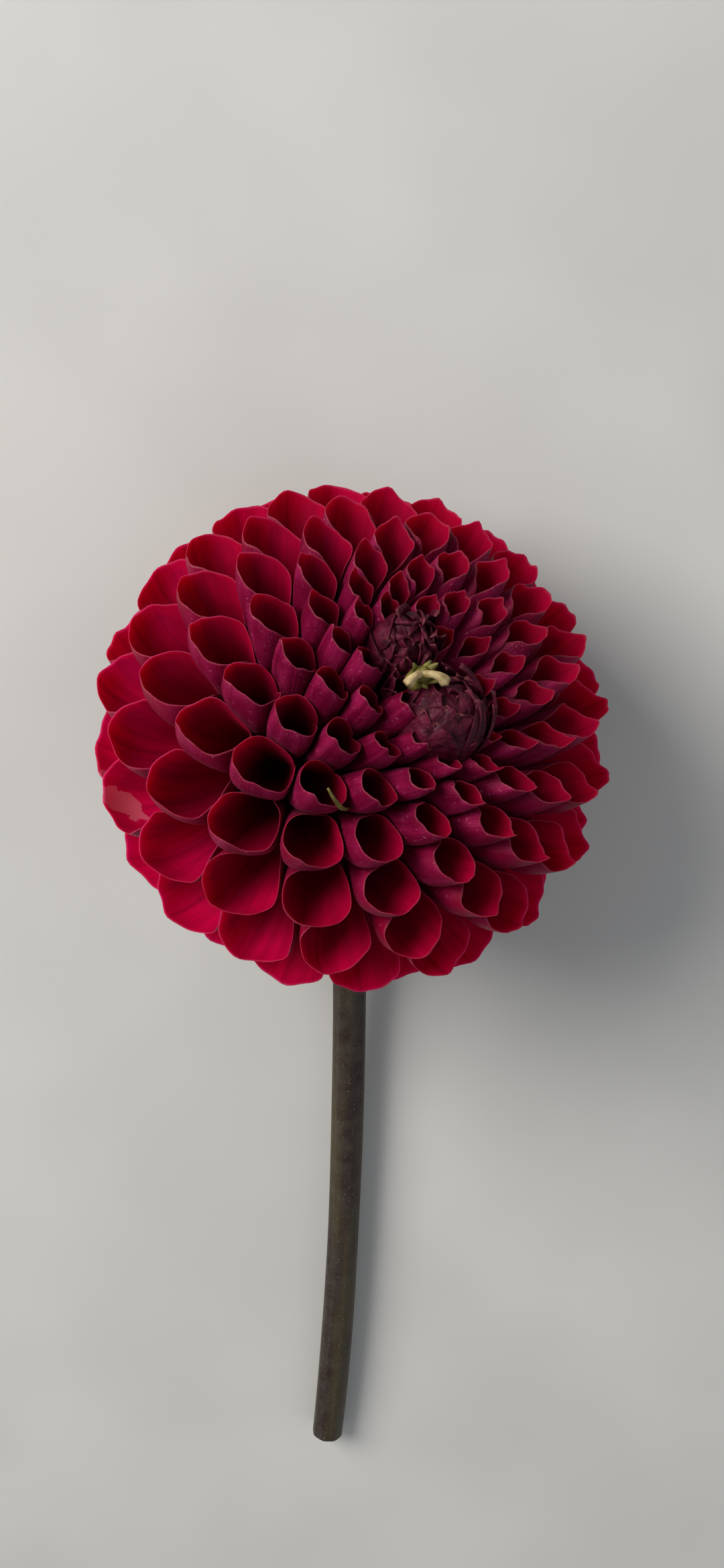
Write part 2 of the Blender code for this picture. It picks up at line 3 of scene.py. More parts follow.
import math
from collections import namedtuple

import bmesh
import bpy
import numpy as np
from mathutils import Matrix, Vector


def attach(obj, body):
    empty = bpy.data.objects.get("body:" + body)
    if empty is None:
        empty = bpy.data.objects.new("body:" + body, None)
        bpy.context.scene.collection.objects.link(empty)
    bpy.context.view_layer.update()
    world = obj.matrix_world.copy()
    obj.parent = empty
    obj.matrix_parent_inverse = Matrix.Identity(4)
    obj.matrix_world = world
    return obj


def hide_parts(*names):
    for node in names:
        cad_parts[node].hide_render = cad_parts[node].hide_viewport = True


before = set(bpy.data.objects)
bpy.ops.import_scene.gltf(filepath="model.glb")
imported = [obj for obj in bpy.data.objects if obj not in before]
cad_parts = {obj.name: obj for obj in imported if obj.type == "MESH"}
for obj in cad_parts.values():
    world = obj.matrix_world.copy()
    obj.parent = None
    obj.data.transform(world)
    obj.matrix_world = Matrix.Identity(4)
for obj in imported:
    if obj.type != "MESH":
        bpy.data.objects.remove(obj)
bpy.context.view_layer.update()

MM = 0.001
SEED = 7
X_WAY = np.array([1.0, 0.0, 0.0])
TINY = 1e-12
WELD_REACH = 0.001 * MM

# The head: an oblate ball of florets round a smaller receptacle.
HEAD_CENTRE = np.array([5.11, -11.70, 41.0]) * MM
HEAD_RADIUS = 44.8 * MM
HEAD_FRONT = 37.0 * MM
HEAD_BACK = 38.5 * MM
EYE_HOLLOW = 4.5 * MM
EYE_HOLLOW_ANGLE = math.radians(24)
FACE_AXIS = (0.391, 0.478, 0.782)
NECK_AXIS = (0.03, 0.53, 0.85)
RECEPTACLE_RADIUS = 22.0 * MM
RECEPTACLE_DEPTH = 18.0 * MM
RECEPTACLE_GRID = (25, 48)
ROOT_DEPTH = 5.0 * MM
ROOT_FLATNESS = 0.8

# The spiral rule.
GOLDEN_ANGLE = math.radians(137.508)
SPIRAL_START = 0.4
EYE_TURN = math.radians(-58)
EYE_SPREAD = 0.086
EYE_SPOT_LIMIT = 0.0100
LAST_ANGLE = math.radians(155)
HEXAGON_SHARE = math.sqrt(3) / 2
SMALL_STEP = 1e-4
FIRST_ANGLE = 0.001
SPIRAL_STEPS = 4000
NEIGHBOURS = 9
PITCH_NEIGHBOURS = 5

# How a floret changes from the eyes (0 degrees) to the stem (180 degrees).
AGE_DEGREES = (14, 25, 40, 60, 90, 150)
FLORET_PITCH = (5.8, 8.0, 11.0, 13.4, 15.4, 16.4)
FLORET_LEAN = (9, 6, 3, -2, -9, -20)
ROLL_SPREAD = 0.12
FLORET_OPEN = (0.0, 0.2, 0.5, 0.8, 1.0, 1.0)
MOUTH_SHARE = (0.49, 0.52, 0.55, 0.58, 0.62, 0.64)

# The form of a floret at the same ages: how much it narrows above its belly, how far it is
# rolled round, how high its low rim is, how evenly the rim falls, how far it reaches, how
# much its rim tilts to the light, and how far its tip bows over towards the eyes.
FLORET_FORM = {
    "belly": (7.0, 6.4, 5.6, 4.8, 4.0, 2.8),
    "wrap": (1.15, 1.12, 1.07, 1.01, 0.92, 0.80),
    "low_rim": (0.80, 0.77, 0.73, 0.68, 0.60, 0.50),
    "even_fall": (0.50, 0.50, 0.45, 0.35, 0.20, 0.10),
    "reach": (1.06, 1.07, 1.08, 1.08, 1.07, 1.08),
    "rim_tilt": (0.03, 0.04, 0.06, 0.07, 0.05, 0.02),
    "incurve": (-1.2, -0.6, 0.2, 1.0, 1.6, 1.2),
}
ROOT_SHIFT = np.array([-9.0, -4.0, -1.0]) * MM
ROOT_SHIFT_BY_AGE = (1.0, 1.0, 0.9, 0.55, 0.1, 0.0)

# The florets right of the head's middle are rolled closed up to a narrow mouth.
CLOSED_FROM = 0.05
CLOSED_FULL = 0.40
CLOSED_BY_AGE = (1.0, 1.0, 0.9, 0.6, 0.05, 0.0)
CLOSED_RIM = 0.90
CLOSED_TAPER = 0.30
CLOSED_TAPER_POWER = 4

# A floret's side: how wide its root is, how soon it widens, from where its tip bows over,
# and how far and from where its mouth bends up to the light.
TUBE_SHARE = 0.22
RISE_POWER = 1.6
BEND_FROM = 0.7
LIGHT_WAY = np.array([0.0, 1.0, 0.1])
LIGHT_BEND = 1.8
LIGHT_BEND_FROM = 0.5

# A floret's rim, in shares of its length: how round its fall is, the chance in its low side,
# its drop at the margins, its pointed tip, and waves as numbers of lobes with their heights.
RIM_POWER = 0.45
LOW_RIM_CHANCE = 0.02
TILT_POWER = 4
MARGIN_FALL = 0.13
MARGIN_FALL_POWER = 10
POINT_RISE = 0.02
POINT_SPREAD = 0.34
RIM_WAVES = ((3, 0.010), (8, 0.004))

# A floret's wall, in shares of its width: how far its tip reaches out, with more in a closed
# floret, one pinched corner, how tightly each margin is rolled in, waves as numbers of lobes
# with their heights and how late they rise, and the lip that flares out.
POINT_REACH = (0.02, 0.06)
POINT_REACH_CLOSED = 0.10
CORNER_TURNS = (1.5, 2.2)
CORNER_SPREAD = 0.35
CORNER_PINCH = 0.22
MOUTH_POWER = 5
MARGIN_ROLL = (0.25, 0.42)
MARGIN_ROLL_POWER = 2.5
OPEN_UNROLL = 0.6
OUTER_ROLL = 0.45
WALL_WAVES = ((2, 0.03, 1), (5, 0.02, 4), (10, 0.013, 5))
LIP_FLARE = 0.05
LIP_RISE_POWER = 9
LIP_FALL_POWER = 0.7
PHASE_COUNT = 6

# How a floret meets its neighbours: the gap between them, how sharply a wall is pressed flat
# and how sharp its corners are, the least room that it keeps, and the tip's overlap.
PETAL_GAP = 0.35 * MM
PRESS_SHARPNESS = 4.5
CORNER_SHARPNESS = 8.0
LEAST_FACING = 0.05
LEAST_ROOM = 0.15
LEAST_DEPTH = 0.2
TIP_OVERLAP = 0.28
TIP_FROM = 0.75
STEM_CLEARANCE = 0.9 * MM

# A petal's thickness, the angle of a full-grown one, how it thins to its edges, and the rows
# and columns of its grid with how they crowd to the edges.
PETAL_THICKNESS = 0.42 * MM
FULL_AGE = math.radians(90)
EDGE_THINNING = 0.80
EDGE_POWER = 8
ROWS = 16
COLUMNS = 45
ROW_CROWDING = 1.5
COLUMN_CROWDING = 0.3

# Low points are squeezed together between these two heights over the surface.
SQUEEZE_FROM = 0.9 * MM
SQUEEZE_TO = 0.25 * MM

# The eye buds: where they sit, and the spiral of scales from their pole.
BUD_LIFT = -3.2 * MM
BUD_LEAN = 0.6
BUD_CORE = 0.97
BUD_FROM = math.radians(16)
BUD_RANGE = math.radians(74)
BUD_CROWDING = 0.62
BUD_REACH = math.radians(24)
BUD_REACH_GROWTH = math.radians(20)
BUD_LEAST_POLAR = math.radians(3)
BUD_WIDTHS = ((0.0, 0.4, 1.0), (0.46, 0.70, 0.76))
BUD_LIFTS = ((0.0, 0.5, 1.0), (0.35, 0.7, 1.0))
BUD_CORE_GRID = (17, 32)

# Their scales: thickness, rows and columns, swirl round the pole, and the heights of the
# crease, the curled edge and the keel.
BUD_THICKNESS = 0.40 * MM
SCALE_CHANCES = 6
SCALE_EDGE_THINNING = 0.6
SCALE_EDGE_POWER = 6
SCALE_ROWS = 15
SCALE_COLUMNS = 15
SCALE_SWIRL = 0.25
SCALE_STRAY = 0.18
SCALE_HUG = 0.12
SCALE_CREASE = 0.10 * MM
SCALE_CURL = 0.45 * MM
SCALE_KEEL = 0.12 * MM
SCALE_KEEL_WIDTH = 0.16
SCALE_GRAIN = (4.0, 9.0)

# A scale's outline, from its foot over a swell to its tip, the waves in its length, its
# ripples and its crease, and how much each scale differs by chance.
SCALE_FOOT = 0.55
SCALE_SWELL = 0.45
SCALE_SWELL_POWER = 0.8
SCALE_TIP_POWER = 5
SCALE_BEND = 0.05
SCALE_BEND_WAVES = 4
SCALE_BEND_SHIFT = 2
SCALE_RIPPLE_WAVES = 4.5
SCALE_RIPPLE_SHIFT = 3
SCALE_RIPPLE_POWER = 1.5
SCALE_CREASES = 7
SCALE_CREASE_SLANT = 5
SCALE_CREASE_SHIFT = 2
SCALE_LIFT_CHANCE = 0.15
SCALE_CURL_CHANCE = 0.5
SCALE_TONE_CHANCE = 0.2
LEAST_SINE = 0.35
MIDDLE_TONE = 0.5

# The narrow young florets over each bud, in two loose rows: their base and tip in degrees
# from the pole, with the second row's step, and their widths and their lifts in millimetres.
STRAP_SWIRL = 0.85
STRAP_BASE = 118
STRAP_ROW_BASE = 8
STRAP_TIP = 34
STRAP_ROW_TIP = 16
STRAP_TIP_CHANCE = 7
STRAP_WIDTHS = (0.15, 0.22)
STRAP_LIFT = 1.3
STRAP_ROW_LIFT = 1.1

# Both buds: the side of the head's middle that each lies on, its size, the pole where its
# scales meet, how many scales and straps it has, how high its scales ripple, where their
# spiral starts, and the degrees that its straps span.
LOWER_BUD = {
    "side": 1,
    "radius": 7.4 * MM,
    "height": 8.6 * MM,
    "pole": (0.094, 0.770, 0.632),
    "scales": 14,
    "ripple": 0.15 * MM,
    "phase": 0.6,
    "straps": 10,
    "strap_from": -70,
    "strap_to": 60,
}
UPPER_BUD = {
    "side": -1,
    "radius": 5.3 * MM,
    "height": 7.8 * MM,
    "pole": (0.290, 0.110, 0.951),
    "scales": 16,
    "ripple": 0.45 * MM,
    "phase": 1.0,
    "straps": 6,
    "strap_from": -50,
    "strap_to": 60,
}

# The disc florets between the eyes: the way and the length of each, how it bows and droops,
# its radius with shares of it for the waist, the mouth, the knots, the lobes and the twisted
# oval, and the hollow in each mouth as shares of its radius with depths in millimetres.
DISC_NAMES = ("left_disc_floret", "right_disc_floret")
DISC_LEANS = (((-0.9, -0.43, 0.2), 3.4 * MM), ((1.0, -0.24, -0.2), 4.2 * MM))
DISC_START = 4.2 * MM
DISC_OFFSET = np.array([-2.9, 0.0, 1.4]) * MM
DISC_RADIUS = 0.85 * MM
DISC_BOW = 0.45
DISC_BOW_SHARE = 0.75
DISC_DROOP = 0.9 * MM
DISC_DROOP_POWER = 2.5
DISC_WAIST = 0.74
DISC_WIDENING = 0.10
DISC_MOUTH = 0.32
DISC_MOUTH_AT = 0.92
DISC_MOUTH_SPREAD = 0.16
DISC_KNOTS = 11
DISC_KNOT_HEIGHT = 0.05
DISC_LOBES = 5
DISC_LOBE_HEIGHT = 0.14
DISC_LOBE_POWER = 3
DISC_OVAL = 2
DISC_OVAL_HEIGHT = 0.06
DISC_OVAL_TWIST = 5
DISC_LIP = 0.86
DISC_HOLLOW = ((0.72, 0.1), (0.58, 0.325), (0.46, 0.55), (0.30, 0.775), (0.0, 1.0))
DISC_GRID = (26, 30)

# The green mound under them.
MOUND_RADIUS = 2.0 * MM
MOUND_HEIGHT = 3.2 * MM
MOUND_SUNK = 2.7 * MM
MOUND_SHIFT = np.array([0.9, 0.1, -0.3]) * MM
MOUND_BUMPS = 0.07
MOUND_GRID = (21, 36)
BUMPS_ROUND = 5
BUMPS_SLANT = 2
BUMPS_DOWN = 3

# Two tufts of small scales, green on the mound and plum beside the buds: how many scales,
# their heights, half their width, and how far out they stand.
CHAFF_TUFT = (9, (1.6 * MM, 2.8 * MM), 0.65 * MM, 1.4 * MM)
CHAFF_RISE = 1.1 * MM
PLUM_TUFT = (7, (6.0 * MM, 9.0 * MM), 2.0 * MM, 1.3 * MM)
PLUM_FOOT = np.array([-8.6, 4.6, -2.5]) * MM
TUFT_THICKNESS = 0.2 * MM
TUFT_GRID = (9, 5)
TUFT_GRAIN = (2.0, 4.0)

# A tuft scale's outline, and how it stands off the tuft's middle, leans out and is dished.
TUFT_TURN_CHANCE = 0.2
TUFT_FOOT = 0.25
TUFT_OUTLINE_POWER = 0.7
TUFT_STAND = 0.9
TUFT_LEAN = 0.8
TUFT_DISH = 0.25

# The chaff blade below the buds.
CHAFF_SPOT = 0.203 - 0.285j
CHAFF_DEPTH = 2.0 * MM
CHAFF_LENGTH = 25.0 * MM
CHAFF_CURVE = 1.6
CHAFF_WAY = np.array([-0.42, 0.91, 0.0])
CHAFF_BOW = 9.0 * MM
CHAFF_BOW_POWER = 3
CHAFF_SHARES = (0.0, 0.35, 0.6, 0.8, 1.0)
CHAFF_WIDTHS = (0.35, 0.5, 0.48, 0.40, 0.10)
CHAFF_FOLD = 0.20 * MM
CHAFF_WAVE = 0.10 * MM
CHAFF_WAVES = 9
CHAFF_THICKNESS = 0.22 * MM
CHAFF_GRID = (31, 9)

# The calyx: the cup's profile, and each ring of bracts by name, number, turn, path, half
# widths and thickness. Profile, paths and widths are in millimetres.
CALYX_PROFILE = ((7.6, 17.6), (8.8, 19.0), (7.4, 21.2), (4.6, 22.7))
INNER_PATH = np.array([(6.0, 18.6), (9.4, 18.6), (11.4, 18.9)])
INNER_WIDTHS = np.array([2.6, 2.9, 0.9])
INNER_BRACTS = ("inner_bracts", 8, 0.5, INNER_PATH, INNER_WIDTHS, 0.7 * MM)
OUTER_PATH = np.array([(5.0, 20.6), (8.6, 20.8), (10.6, 23.2), (10.4, 27.0), (9.6, 29.5)])
OUTER_WIDTHS = np.array([1.8, 2.5, 2.7, 1.9, 0.5])
OUTER_BRACTS = ("outer_bracts", 6, 0.0, OUTER_PATH, OUTER_WIDTHS, 0.9 * MM)
BRACT_WAVE = 0.25 * MM
BRACT_DISH = 0.6 * MM
BRACT_GRID = (15, 11)
CUP_GRID = (19, 48)

# A bract's curve, how its tip closes, its waves, and how it thins to its tip and edges. The
# cup's ribs have a number and a height.
BRACT_CURVE_ORDER = 3
BRACT_TIP = 1.02
BRACT_TIP_POWER = 8
BRACT_WAVES = 5
BRACT_WAVE_SHIFT = 6
BRACT_THINNING = 0.5
TIP_THINNING_POWER = 3
SIDE_THINNING_POWER = 4
CUP_RIBS = 8
CUP_RIB_HEIGHT = 0.02

# The stem: its line, its ribs as numbers with heights in shares of its radius, its swelling
# under the head, its waves, and its cut end as shares of its radius with depths in millimetres.
STEM_RADIUS = 3.75 * MM
STEM_END_RADIUS = 3.55 * MM
STEM_END = np.array([-1.29, -191.53, 3.3]) * MM
STEM_SAG = np.array([7.7, 75.0, 4.0]) * MM
STEM_TOP = 23.0 * MM
STEM_TWIST = 0.5
STEM_RIBS = ((8, 0.018), (24, 0.006))
STEM_SWELL = 0.16
STEM_SWELL_SPREAD = 0.05
STEM_WAVES = 23
STEM_WAVE_HEIGHT = 0.012
STEM_CUT = (
    (0.985, -0.10),
    (0.93, -0.16),
    (0.6, -0.10),
    (0.40, 0.0),
    (0.34, 1.6),
    (0.25, 5.5),
    (0.0, 6.0),
)
STEM_FLOOR = 0.02 * MM
STEM_GRID = (110, 48)
STEM_GRAIN = (3.7, 190.0)
STEM_TONE = 0.4
STEM_CHECKS = 80

# The pieces that the florets are split into, by angle from the eyes.
BAND_DEGREES = (0, 42, 66, 92, 180)
BAND_NAMES = ("inner_florets", "middle_florets", "outer_florets", "back_florets")

# The noise in the materials: how far one petal's pattern is shifted from another's, how
# broad streaks are beside ribs, how fine specks are beside blotches, and the part of each
# noise that is stretched over the whole range from none to full.
TONE_SHIFT = 37.0
STREAK_SHARE = 0.22
SPECK_FINENESS = 9.0
NOISE_MIDDLE = 0.5
RIB_DETAIL = 3.0
RIB_ROUGHNESS = 0.6
RIB_RANGE = (0.3, 0.7)
STREAK_DETAIL = 1.0
STREAK_RANGE = (0.35, 0.65)
BLOTCH_RANGE = (0.3, 0.7)
SPECK_RANGE = (0.62, 0.74)
PLANT_ROUGHNESS_SWING = 0.06

# The dry margin: how many times in a metre and how far it wanders, and where it is full.
MARGIN_WANDER_SCALE = 300.0
MARGIN_WANDER = 0.02
MARGIN_FULL = 1.01

# The sockets of a colour mix: its share, its two colours and their mixture.
MIX_INPUTS = (0, 6, 7)
MIX_OUTPUT = 2

# Colours, as light reflected in red, green and blue.
CUP_RIM = (0.40, 0.0, 0.036, 1.0)
CUP_WARM = (0.42, 0.001, 0.020, 1.0)
CUP_STREAK = (0.18, 0.0, 0.020, 1.0)
# Painted shade down in the cups; the same dark also tints random blotches and the middle line.
CUP_DEPTH_SHADE = (0.18, 0.0, 0.018, 1.0)
# Painted shade inside the narrow mouths of young florets.
CUP_YOUNG_SHADE = (0.09, 0.0, 0.010, 1.0)
# Painted glow: old open cups are lightened as if lit through the petal.
CUP_OLD_GLOW = (0.62, 0.0, 0.065, 1.0)
DRY_EDGE = (0.42, 0.12, 0.12, 1.0)
TORN = (0.58, 0.09, 0.15, 1.0)
REVERSE_YOUNG = (0.140, 0.0, 0.022, 1.0)
REVERSE_OLD = (0.25, 0.0, 0.022, 1.0)
# Painted shade at the roots of the petals' backs, where the florets crowd.
REVERSE_ROOT_SHADE = (0.075, 0.0, 0.012, 1.0)
# Painted sheen: the pale satin streaks, ribs, ridge and lip on the petals' backs.
REVERSE_SHEEN = (0.36, 0.012, 0.085, 1.0)
# Painted glints: pale sparkling specks on the petals' backs.
REVERSE_GLINT = (0.60, 0.16, 0.30, 1.0)
BUD_DARK = (0.030, 0.001, 0.008, 1.0)
BUD_PLUM = (0.072, 0.002, 0.016, 1.0)
# Painted sheen on the bud scales, towards their tips and along streaks.
BUD_SHEEN = (0.19, 0.020, 0.050, 1.0)
CORE_DARK = (0.05, 0.004, 0.008, 1.0)
CORE_LIGHT = (0.10, 0.02, 0.012, 1.0)
DISC_TAN = (0.42, 0.27, 0.10, 1.0)
DISC_CREAM = (0.70, 0.53, 0.27, 1.0)
DISC_BROWN = (0.16, 0.08, 0.04, 1.0)
CHAFF_DARK = (0.095, 0.085, 0.012, 1.0)
CHAFF_LIGHT = (0.26, 0.225, 0.040, 1.0)
CALYX_DARK = (0.05, 0.09, 0.02, 1.0)
CALYX_LIGHT = (0.13, 0.20, 0.05, 1.0)
CALYX_PURPLE = (0.07, 0.02, 0.03, 1.0)
STEM_OLIVE = (0.062, 0.046, 0.020, 1.0)
STEM_PURPLE = (0.030, 0.016, 0.014, 1.0)
STEM_GREY = (0.085, 0.078, 0.062, 1.0)
STEM_SPECK = (0.22, 0.19, 0.13, 1.0)
STEM_PITH = (0.42, 0.46, 0.26, 1.0)
FLOOR_DARK = (0.70, 0.69, 0.66, 1.0)
FLOOR_LIGHT = (0.76, 0.75, 0.72, 1.0)

# The torn patch: its middle, the way along it and across it, its half sizes, how fine its
# ragged outline is in a metre, and where its edge fades in.
TEAR_MIDDLE = (-36.6 * MM, -20.5 * MM)
TEAR_WAY = (0.79, -0.61)
TEAR_ACROSS = (0.61, 0.79)
TEAR_HALVES = (5.4 * MM, 1.4 * MM)
TEAR_RAG_SCALE = 450.0
TEAR_RAG_DETAIL = 3.0
TEAR_EDGE = (1.05, 0.95)

# The floor, the light and the camera.
FLOOR_SIZE = 6.0
FLOOR_DROP = -0.0002
LIGHTS = (
    ("key", (-0.66, 0.46, 0.62), 0.60, 9.8, (1.0, 0.97, 0.93)),
    ("fill", (0.60, -0.30, 0.60), 0.8, 0.5, (0.90, 0.95, 1.0)),
)
SKY_COLOUR = (0.90, 0.94, 1.0, 1.0)
SKY_STRENGTH = 0.25
IMAGE_WIDTH = 1080
IMAGE_HEIGHT = 2340
HEAD_PIXEL = (525, 1098)
PIXELS_PER_METRE = 7960.0
SENSOR_WIDTH = 36.0
CAMERA_DISTANCE = 0.300
CAMERA_TILT = math.radians(15)

Floret = namedtuple(
    "Floret",
    "root axis inward side length mouth openness closed angle tone "
    "near_roots near_axes near_shares",
)


def unit(vectors):
    """Each row scaled to length one."""
    return vectors / np.linalg.norm(vectors, axis=-1, keepdims=True)


FACE = unit(np.array(FACE_AXIS))
NECK = unit(np.array(NECK_AXIS))


# The ball and the spiral


def by_age(angle, values):
    """A property that changes along AGE_DEGREES, read at an angle from the eyes."""
    return np.interp(np.degrees(angle), AGE_DEGREES, values)


def ball_point(spot, radius=HEAD_RADIUS, front=HEAD_FRONT, back=HEAD_BACK, hollow=EYE_HOLLOW):
    """A point of an oblate ball for each spot, a complex number that is its stereographic
    picture. The ball's axis bends over from the face to the neck, and the eyes lie in a hollow."""
    polar = 2 * np.arctan(np.abs(spot))
    turn = np.angle(spot) + EYE_TURN
    share = ((1 + np.cos(polar)) / 2)[:, None]
    axis = unit(FACE * share + NECK * (1 - share))
    side = unit(X_WAY - axis * axis[:, :1])
    up = np.cross(axis, side)
    radial = side * np.cos(turn)[:, None] + up * np.sin(turn)[:, None]
    height = np.cos(polar) * np.where(polar < math.pi / 2, front, back)
    height = height - hollow * np.exp(-((polar / EYE_HOLLOW_ANGLE) ** 2))
    return HEAD_CENTRE + radial * (np.sin(polar) * radius)[:, None] + axis * height[:, None]


def root_point(spot, depth):
    """A point under the skin of the receptacle, for each spot."""
    radius = RECEPTACLE_RADIUS - depth
    return ball_point(spot, radius, radius * ROOT_FLATNESS, radius * ROOT_FLATNESS, 0.0)


def spiral_spots():
    """A golden-angle spiral, unfolded by a square root so that it winds round two eyes."""
    angles = np.linspace(FIRST_ANGLE, LAST_ANGLE, SPIRAL_STEPS)
    pitch = by_age(angles, FLORET_PITCH) * MM
    crowding = math.pi * HEAD_RADIUS**2 * np.sin(angles) / (HEXAGON_SHARE * pitch**2)
    count = np.cumsum(crowding) * (angles[1] - angles[0])
    order = np.arange(int(count[-1]))
    reach = np.tan(np.interp(order + 0.5, count, angles) / 2) ** 2
    folded = reach * np.exp(1j * (order * GOLDEN_ANGLE + SPIRAL_START))
    folded = folded[np.abs(folded) > EYE_SPOT_LIMIT]
    spots = np.sqrt(folded + EYE_SPREAD**2)
    return np.concatenate([spots, -spots]), np.concatenate([folded, folded])


def all_florets():
    """Every floret's root, direction and size, from its place in the spiral."""
    rng = np.random.default_rng(SEED)
    spots, folded = spiral_spots()
    toward = -folded * np.conj(spots)
    toward = toward / np.abs(toward)
    angles = 2 * np.arctan(np.abs(spots))
    tips = ball_point(spots)
    inward = unit(ball_point(spots + toward * SMALL_STEP) - tips)
    apart = np.linalg.norm(tips[:, None] - tips[None], axis=2)
    nearest = np.argsort(apart, axis=1)[:, 1 : NEIGHBOURS + 1]
    pitch = np.take_along_axis(apart, nearest, axis=1)[:, :PITCH_NEIGHBOURS].mean(axis=1)
    mouths = pitch * by_age(angles, MOUTH_SHARE)
    shift = np.tan(np.radians(by_age(angles, FLORET_LEAN)) / 2) * (1 + np.abs(spots) ** 2)
    roots = root_point(spots - toward * shift, ROOT_DEPTH)
    roots = roots + np.outer(by_age(angles, ROOT_SHIFT_BY_AGE), ROOT_SHIFT)
    axes = unit(tips - roots)
    right = (tips - HEAD_CENTRE)[:, 0] / HEAD_RADIUS
    closed = np.clip((right - CLOSED_FROM) / (CLOSED_FULL - CLOSED_FROM), 0.0, 1.0)
    closed = closed * by_age(angles, CLOSED_BY_AGE)
    rolls = rng.normal(0.0, ROLL_SPREAD, len(spots))
    tones = rng.uniform(0.0, 1.0, len(spots))
    florets = []
    for index, roll in enumerate(rolls):
        axis = axes[index]
        near = nearest[index]
        inner = unit(inward[index] - axis * (inward[index] @ axis))
        side = np.cross(axis, inner)
        florets.append(
            Floret(
                root=roots[index],
                axis=axis,
                inward=inner * math.cos(roll) + side * math.sin(roll),
                side=side * math.cos(roll) - inner * math.sin(roll),
                length=np.linalg.norm(tips[index] - roots[index]),
                mouth=mouths[index],
                openness=by_age(angles[index], FLORET_OPEN),
                closed=closed[index],
                angle=angles[index],
                near_roots=roots[near],
                near_axes=axes[near],
                near_shares=mouths[index] / (mouths[index] + mouths[near]),
                tone=tones[index],
            )
        )
    return florets


def stem_line(shares):
    """The stem's middle line, a cubic curve from the calyx to the cut end."""
    start = HEAD_CENTRE - NECK * STEM_TOP
    controls = (start, start - NECK * STEM_TOP, STEM_END + STEM_SAG, STEM_END)
    weights = (
        (1 - shares) ** 3,
        3 * (1 - shares) ** 2 * shares,
        3 * (1 - shares) * shares**2,
        shares**3,
    )
    return sum(np.multiply.outer(weight, point) for weight, point in zip(weights, controls))


def eye_frame(bud):
    """The middle of a bud, and the way that it faces."""
    eye = ball_point(np.array([bud["side"] * EYE_SPREAD + 0j]))[0]
    axis = unit(unit(eye - HEAD_CENTRE) + BUD_LEAN * FACE)
    return eye + axis * BUD_LIFT, axis


def across(axis):
    """Two directions at right angles to an axis and to each other."""
    helper = np.eye(3)[np.argmin(np.abs(axis))]
    side = unit(np.cross(axis, helper))
    return side, np.cross(axis, side)


def full_turn(count):
    """Equal steps round a circle."""
    return np.arange(count) * 2 * math.pi / count


# Meshes from grids of points


def link_mesh(name, points, faces, slots=None):
    """A smooth mesh object at the origin, from its points and its four-sided faces."""
    mesh = bpy.data.meshes.new(name)
    mesh.vertices.add(len(points))
    mesh.vertices.foreach_set("co", points.astype(np.float32).ravel())
    mesh.loops.add(faces.size)
    mesh.loops.foreach_set("vertex_index", faces.ravel())
    mesh.polygons.add(len(faces))
    mesh.polygons.foreach_set("loop_start", np.arange(len(faces)) * faces.shape[1])
    if slots is not None:
        mesh.polygons.foreach_set("material_index", slots)
    mesh.update(calc_edges=True)
    mesh.shade_smooth()
    thing = bpy.data.objects.new(name, mesh)
    bpy.context.scene.collection.objects.link(thing)
    return thing


def add_attributes(thing, values):
    """Stores each named array of numbers, one for each point."""
    for name, numbers in values.items():
        layer = thing.data.attributes.new(name, "FLOAT", "POINT")
        layer.data.foreach_set("value", np.asarray(numbers, np.float32).ravel())


def shell_normals(grids):
    """The direction away from the hollow side, at each point of each grid."""
    rows = np.gradient(grids, axis=1)
    columns = np.gradient(grids, axis=2)
    normals = np.cross(rows, columns)
    return normals / np.maximum(np.linalg.norm(normals, axis=3, keepdims=True), TINY)


def make_shells(name, grids, thickness, values):
    """Thin closed shells. Each grid of middle points is moved out and in along its normals
    by half of the thickness, and the two skins are joined by a strip round the edge.

    The inner skin and the strip take the first material, and the outer skin the second.
    """
    count, rows, columns = grids.shape[:3]
    normals = shell_normals(grids)
    half = thickness[..., None] / 2
    inner = (grids - normals * half).reshape(count, -1, 3)
    outer = (grids + normals * half).reshape(count, -1, 3)
    points = np.concatenate([inner, outer], axis=1).reshape(-1, 3)
    index = np.arange(rows * columns).reshape(rows, columns)
    corners = [index[:-1, :-1], index[:-1, 1:], index[1:, 1:], index[1:, :-1]]
    quads = np.stack(corners, axis=-1).reshape(-1, 4)
    loop = np.concatenate([index[0, :-1], index[:-1, -1], index[-1, :0:-1], index[:0:-1, 0]])
    after = np.roll(loop, -1)
    skin = rows * columns
    strip = np.stack([after, loop, loop + skin, after + skin], axis=-1)
    one = np.concatenate([quads, strip, quads[:, ::-1] + skin])
    slots = np.concatenate([np.zeros(len(quads) + len(strip)), np.ones(len(quads))])
    faces = (one[None] + np.arange(count)[:, None, None] * 2 * skin).reshape(-1, 4)
    thing = link_mesh(name, points, faces, np.tile(slots.astype(np.int32), count))
    doubled = {}
    for key, value in values.items():
        flat = np.broadcast_to(value, (count, rows, columns)).reshape(count, -1)
        doubled[key] = np.concatenate([flat, flat], axis=1)
    add_attributes(thing, doubled)
    return thing


def make_skin(name, rings, values=None):
    """One closed skin through rings of points, each joined to itself and to the next."""
    rows, columns = rings.shape[:2]
    index = np.arange(rows * columns).reshape(rows, columns)
    after = np.roll(index, -1, axis=1)
    corners = [index[:-1], after[:-1], after[1:], index[1:]]
    faces = np.stack(corners, axis=-1).reshape(-1, 4)
    thing = link_mesh(name, rings.reshape(-1, 3), faces)
    add_attributes(thing, values or {})
    weld(thing)
    return thing


def weld(thing):
    """Merges the points of a pole, and turns the faces outwards."""
    shell = bmesh.new()
    shell.from_mesh(thing.data)
    bmesh.ops.remove_doubles(shell, verts=shell.verts, dist=WELD_REACH)
    bmesh.ops.recalc_face_normals(shell, faces=shell.faces)
    shell.to_mesh(thing.data)
    shell.free()


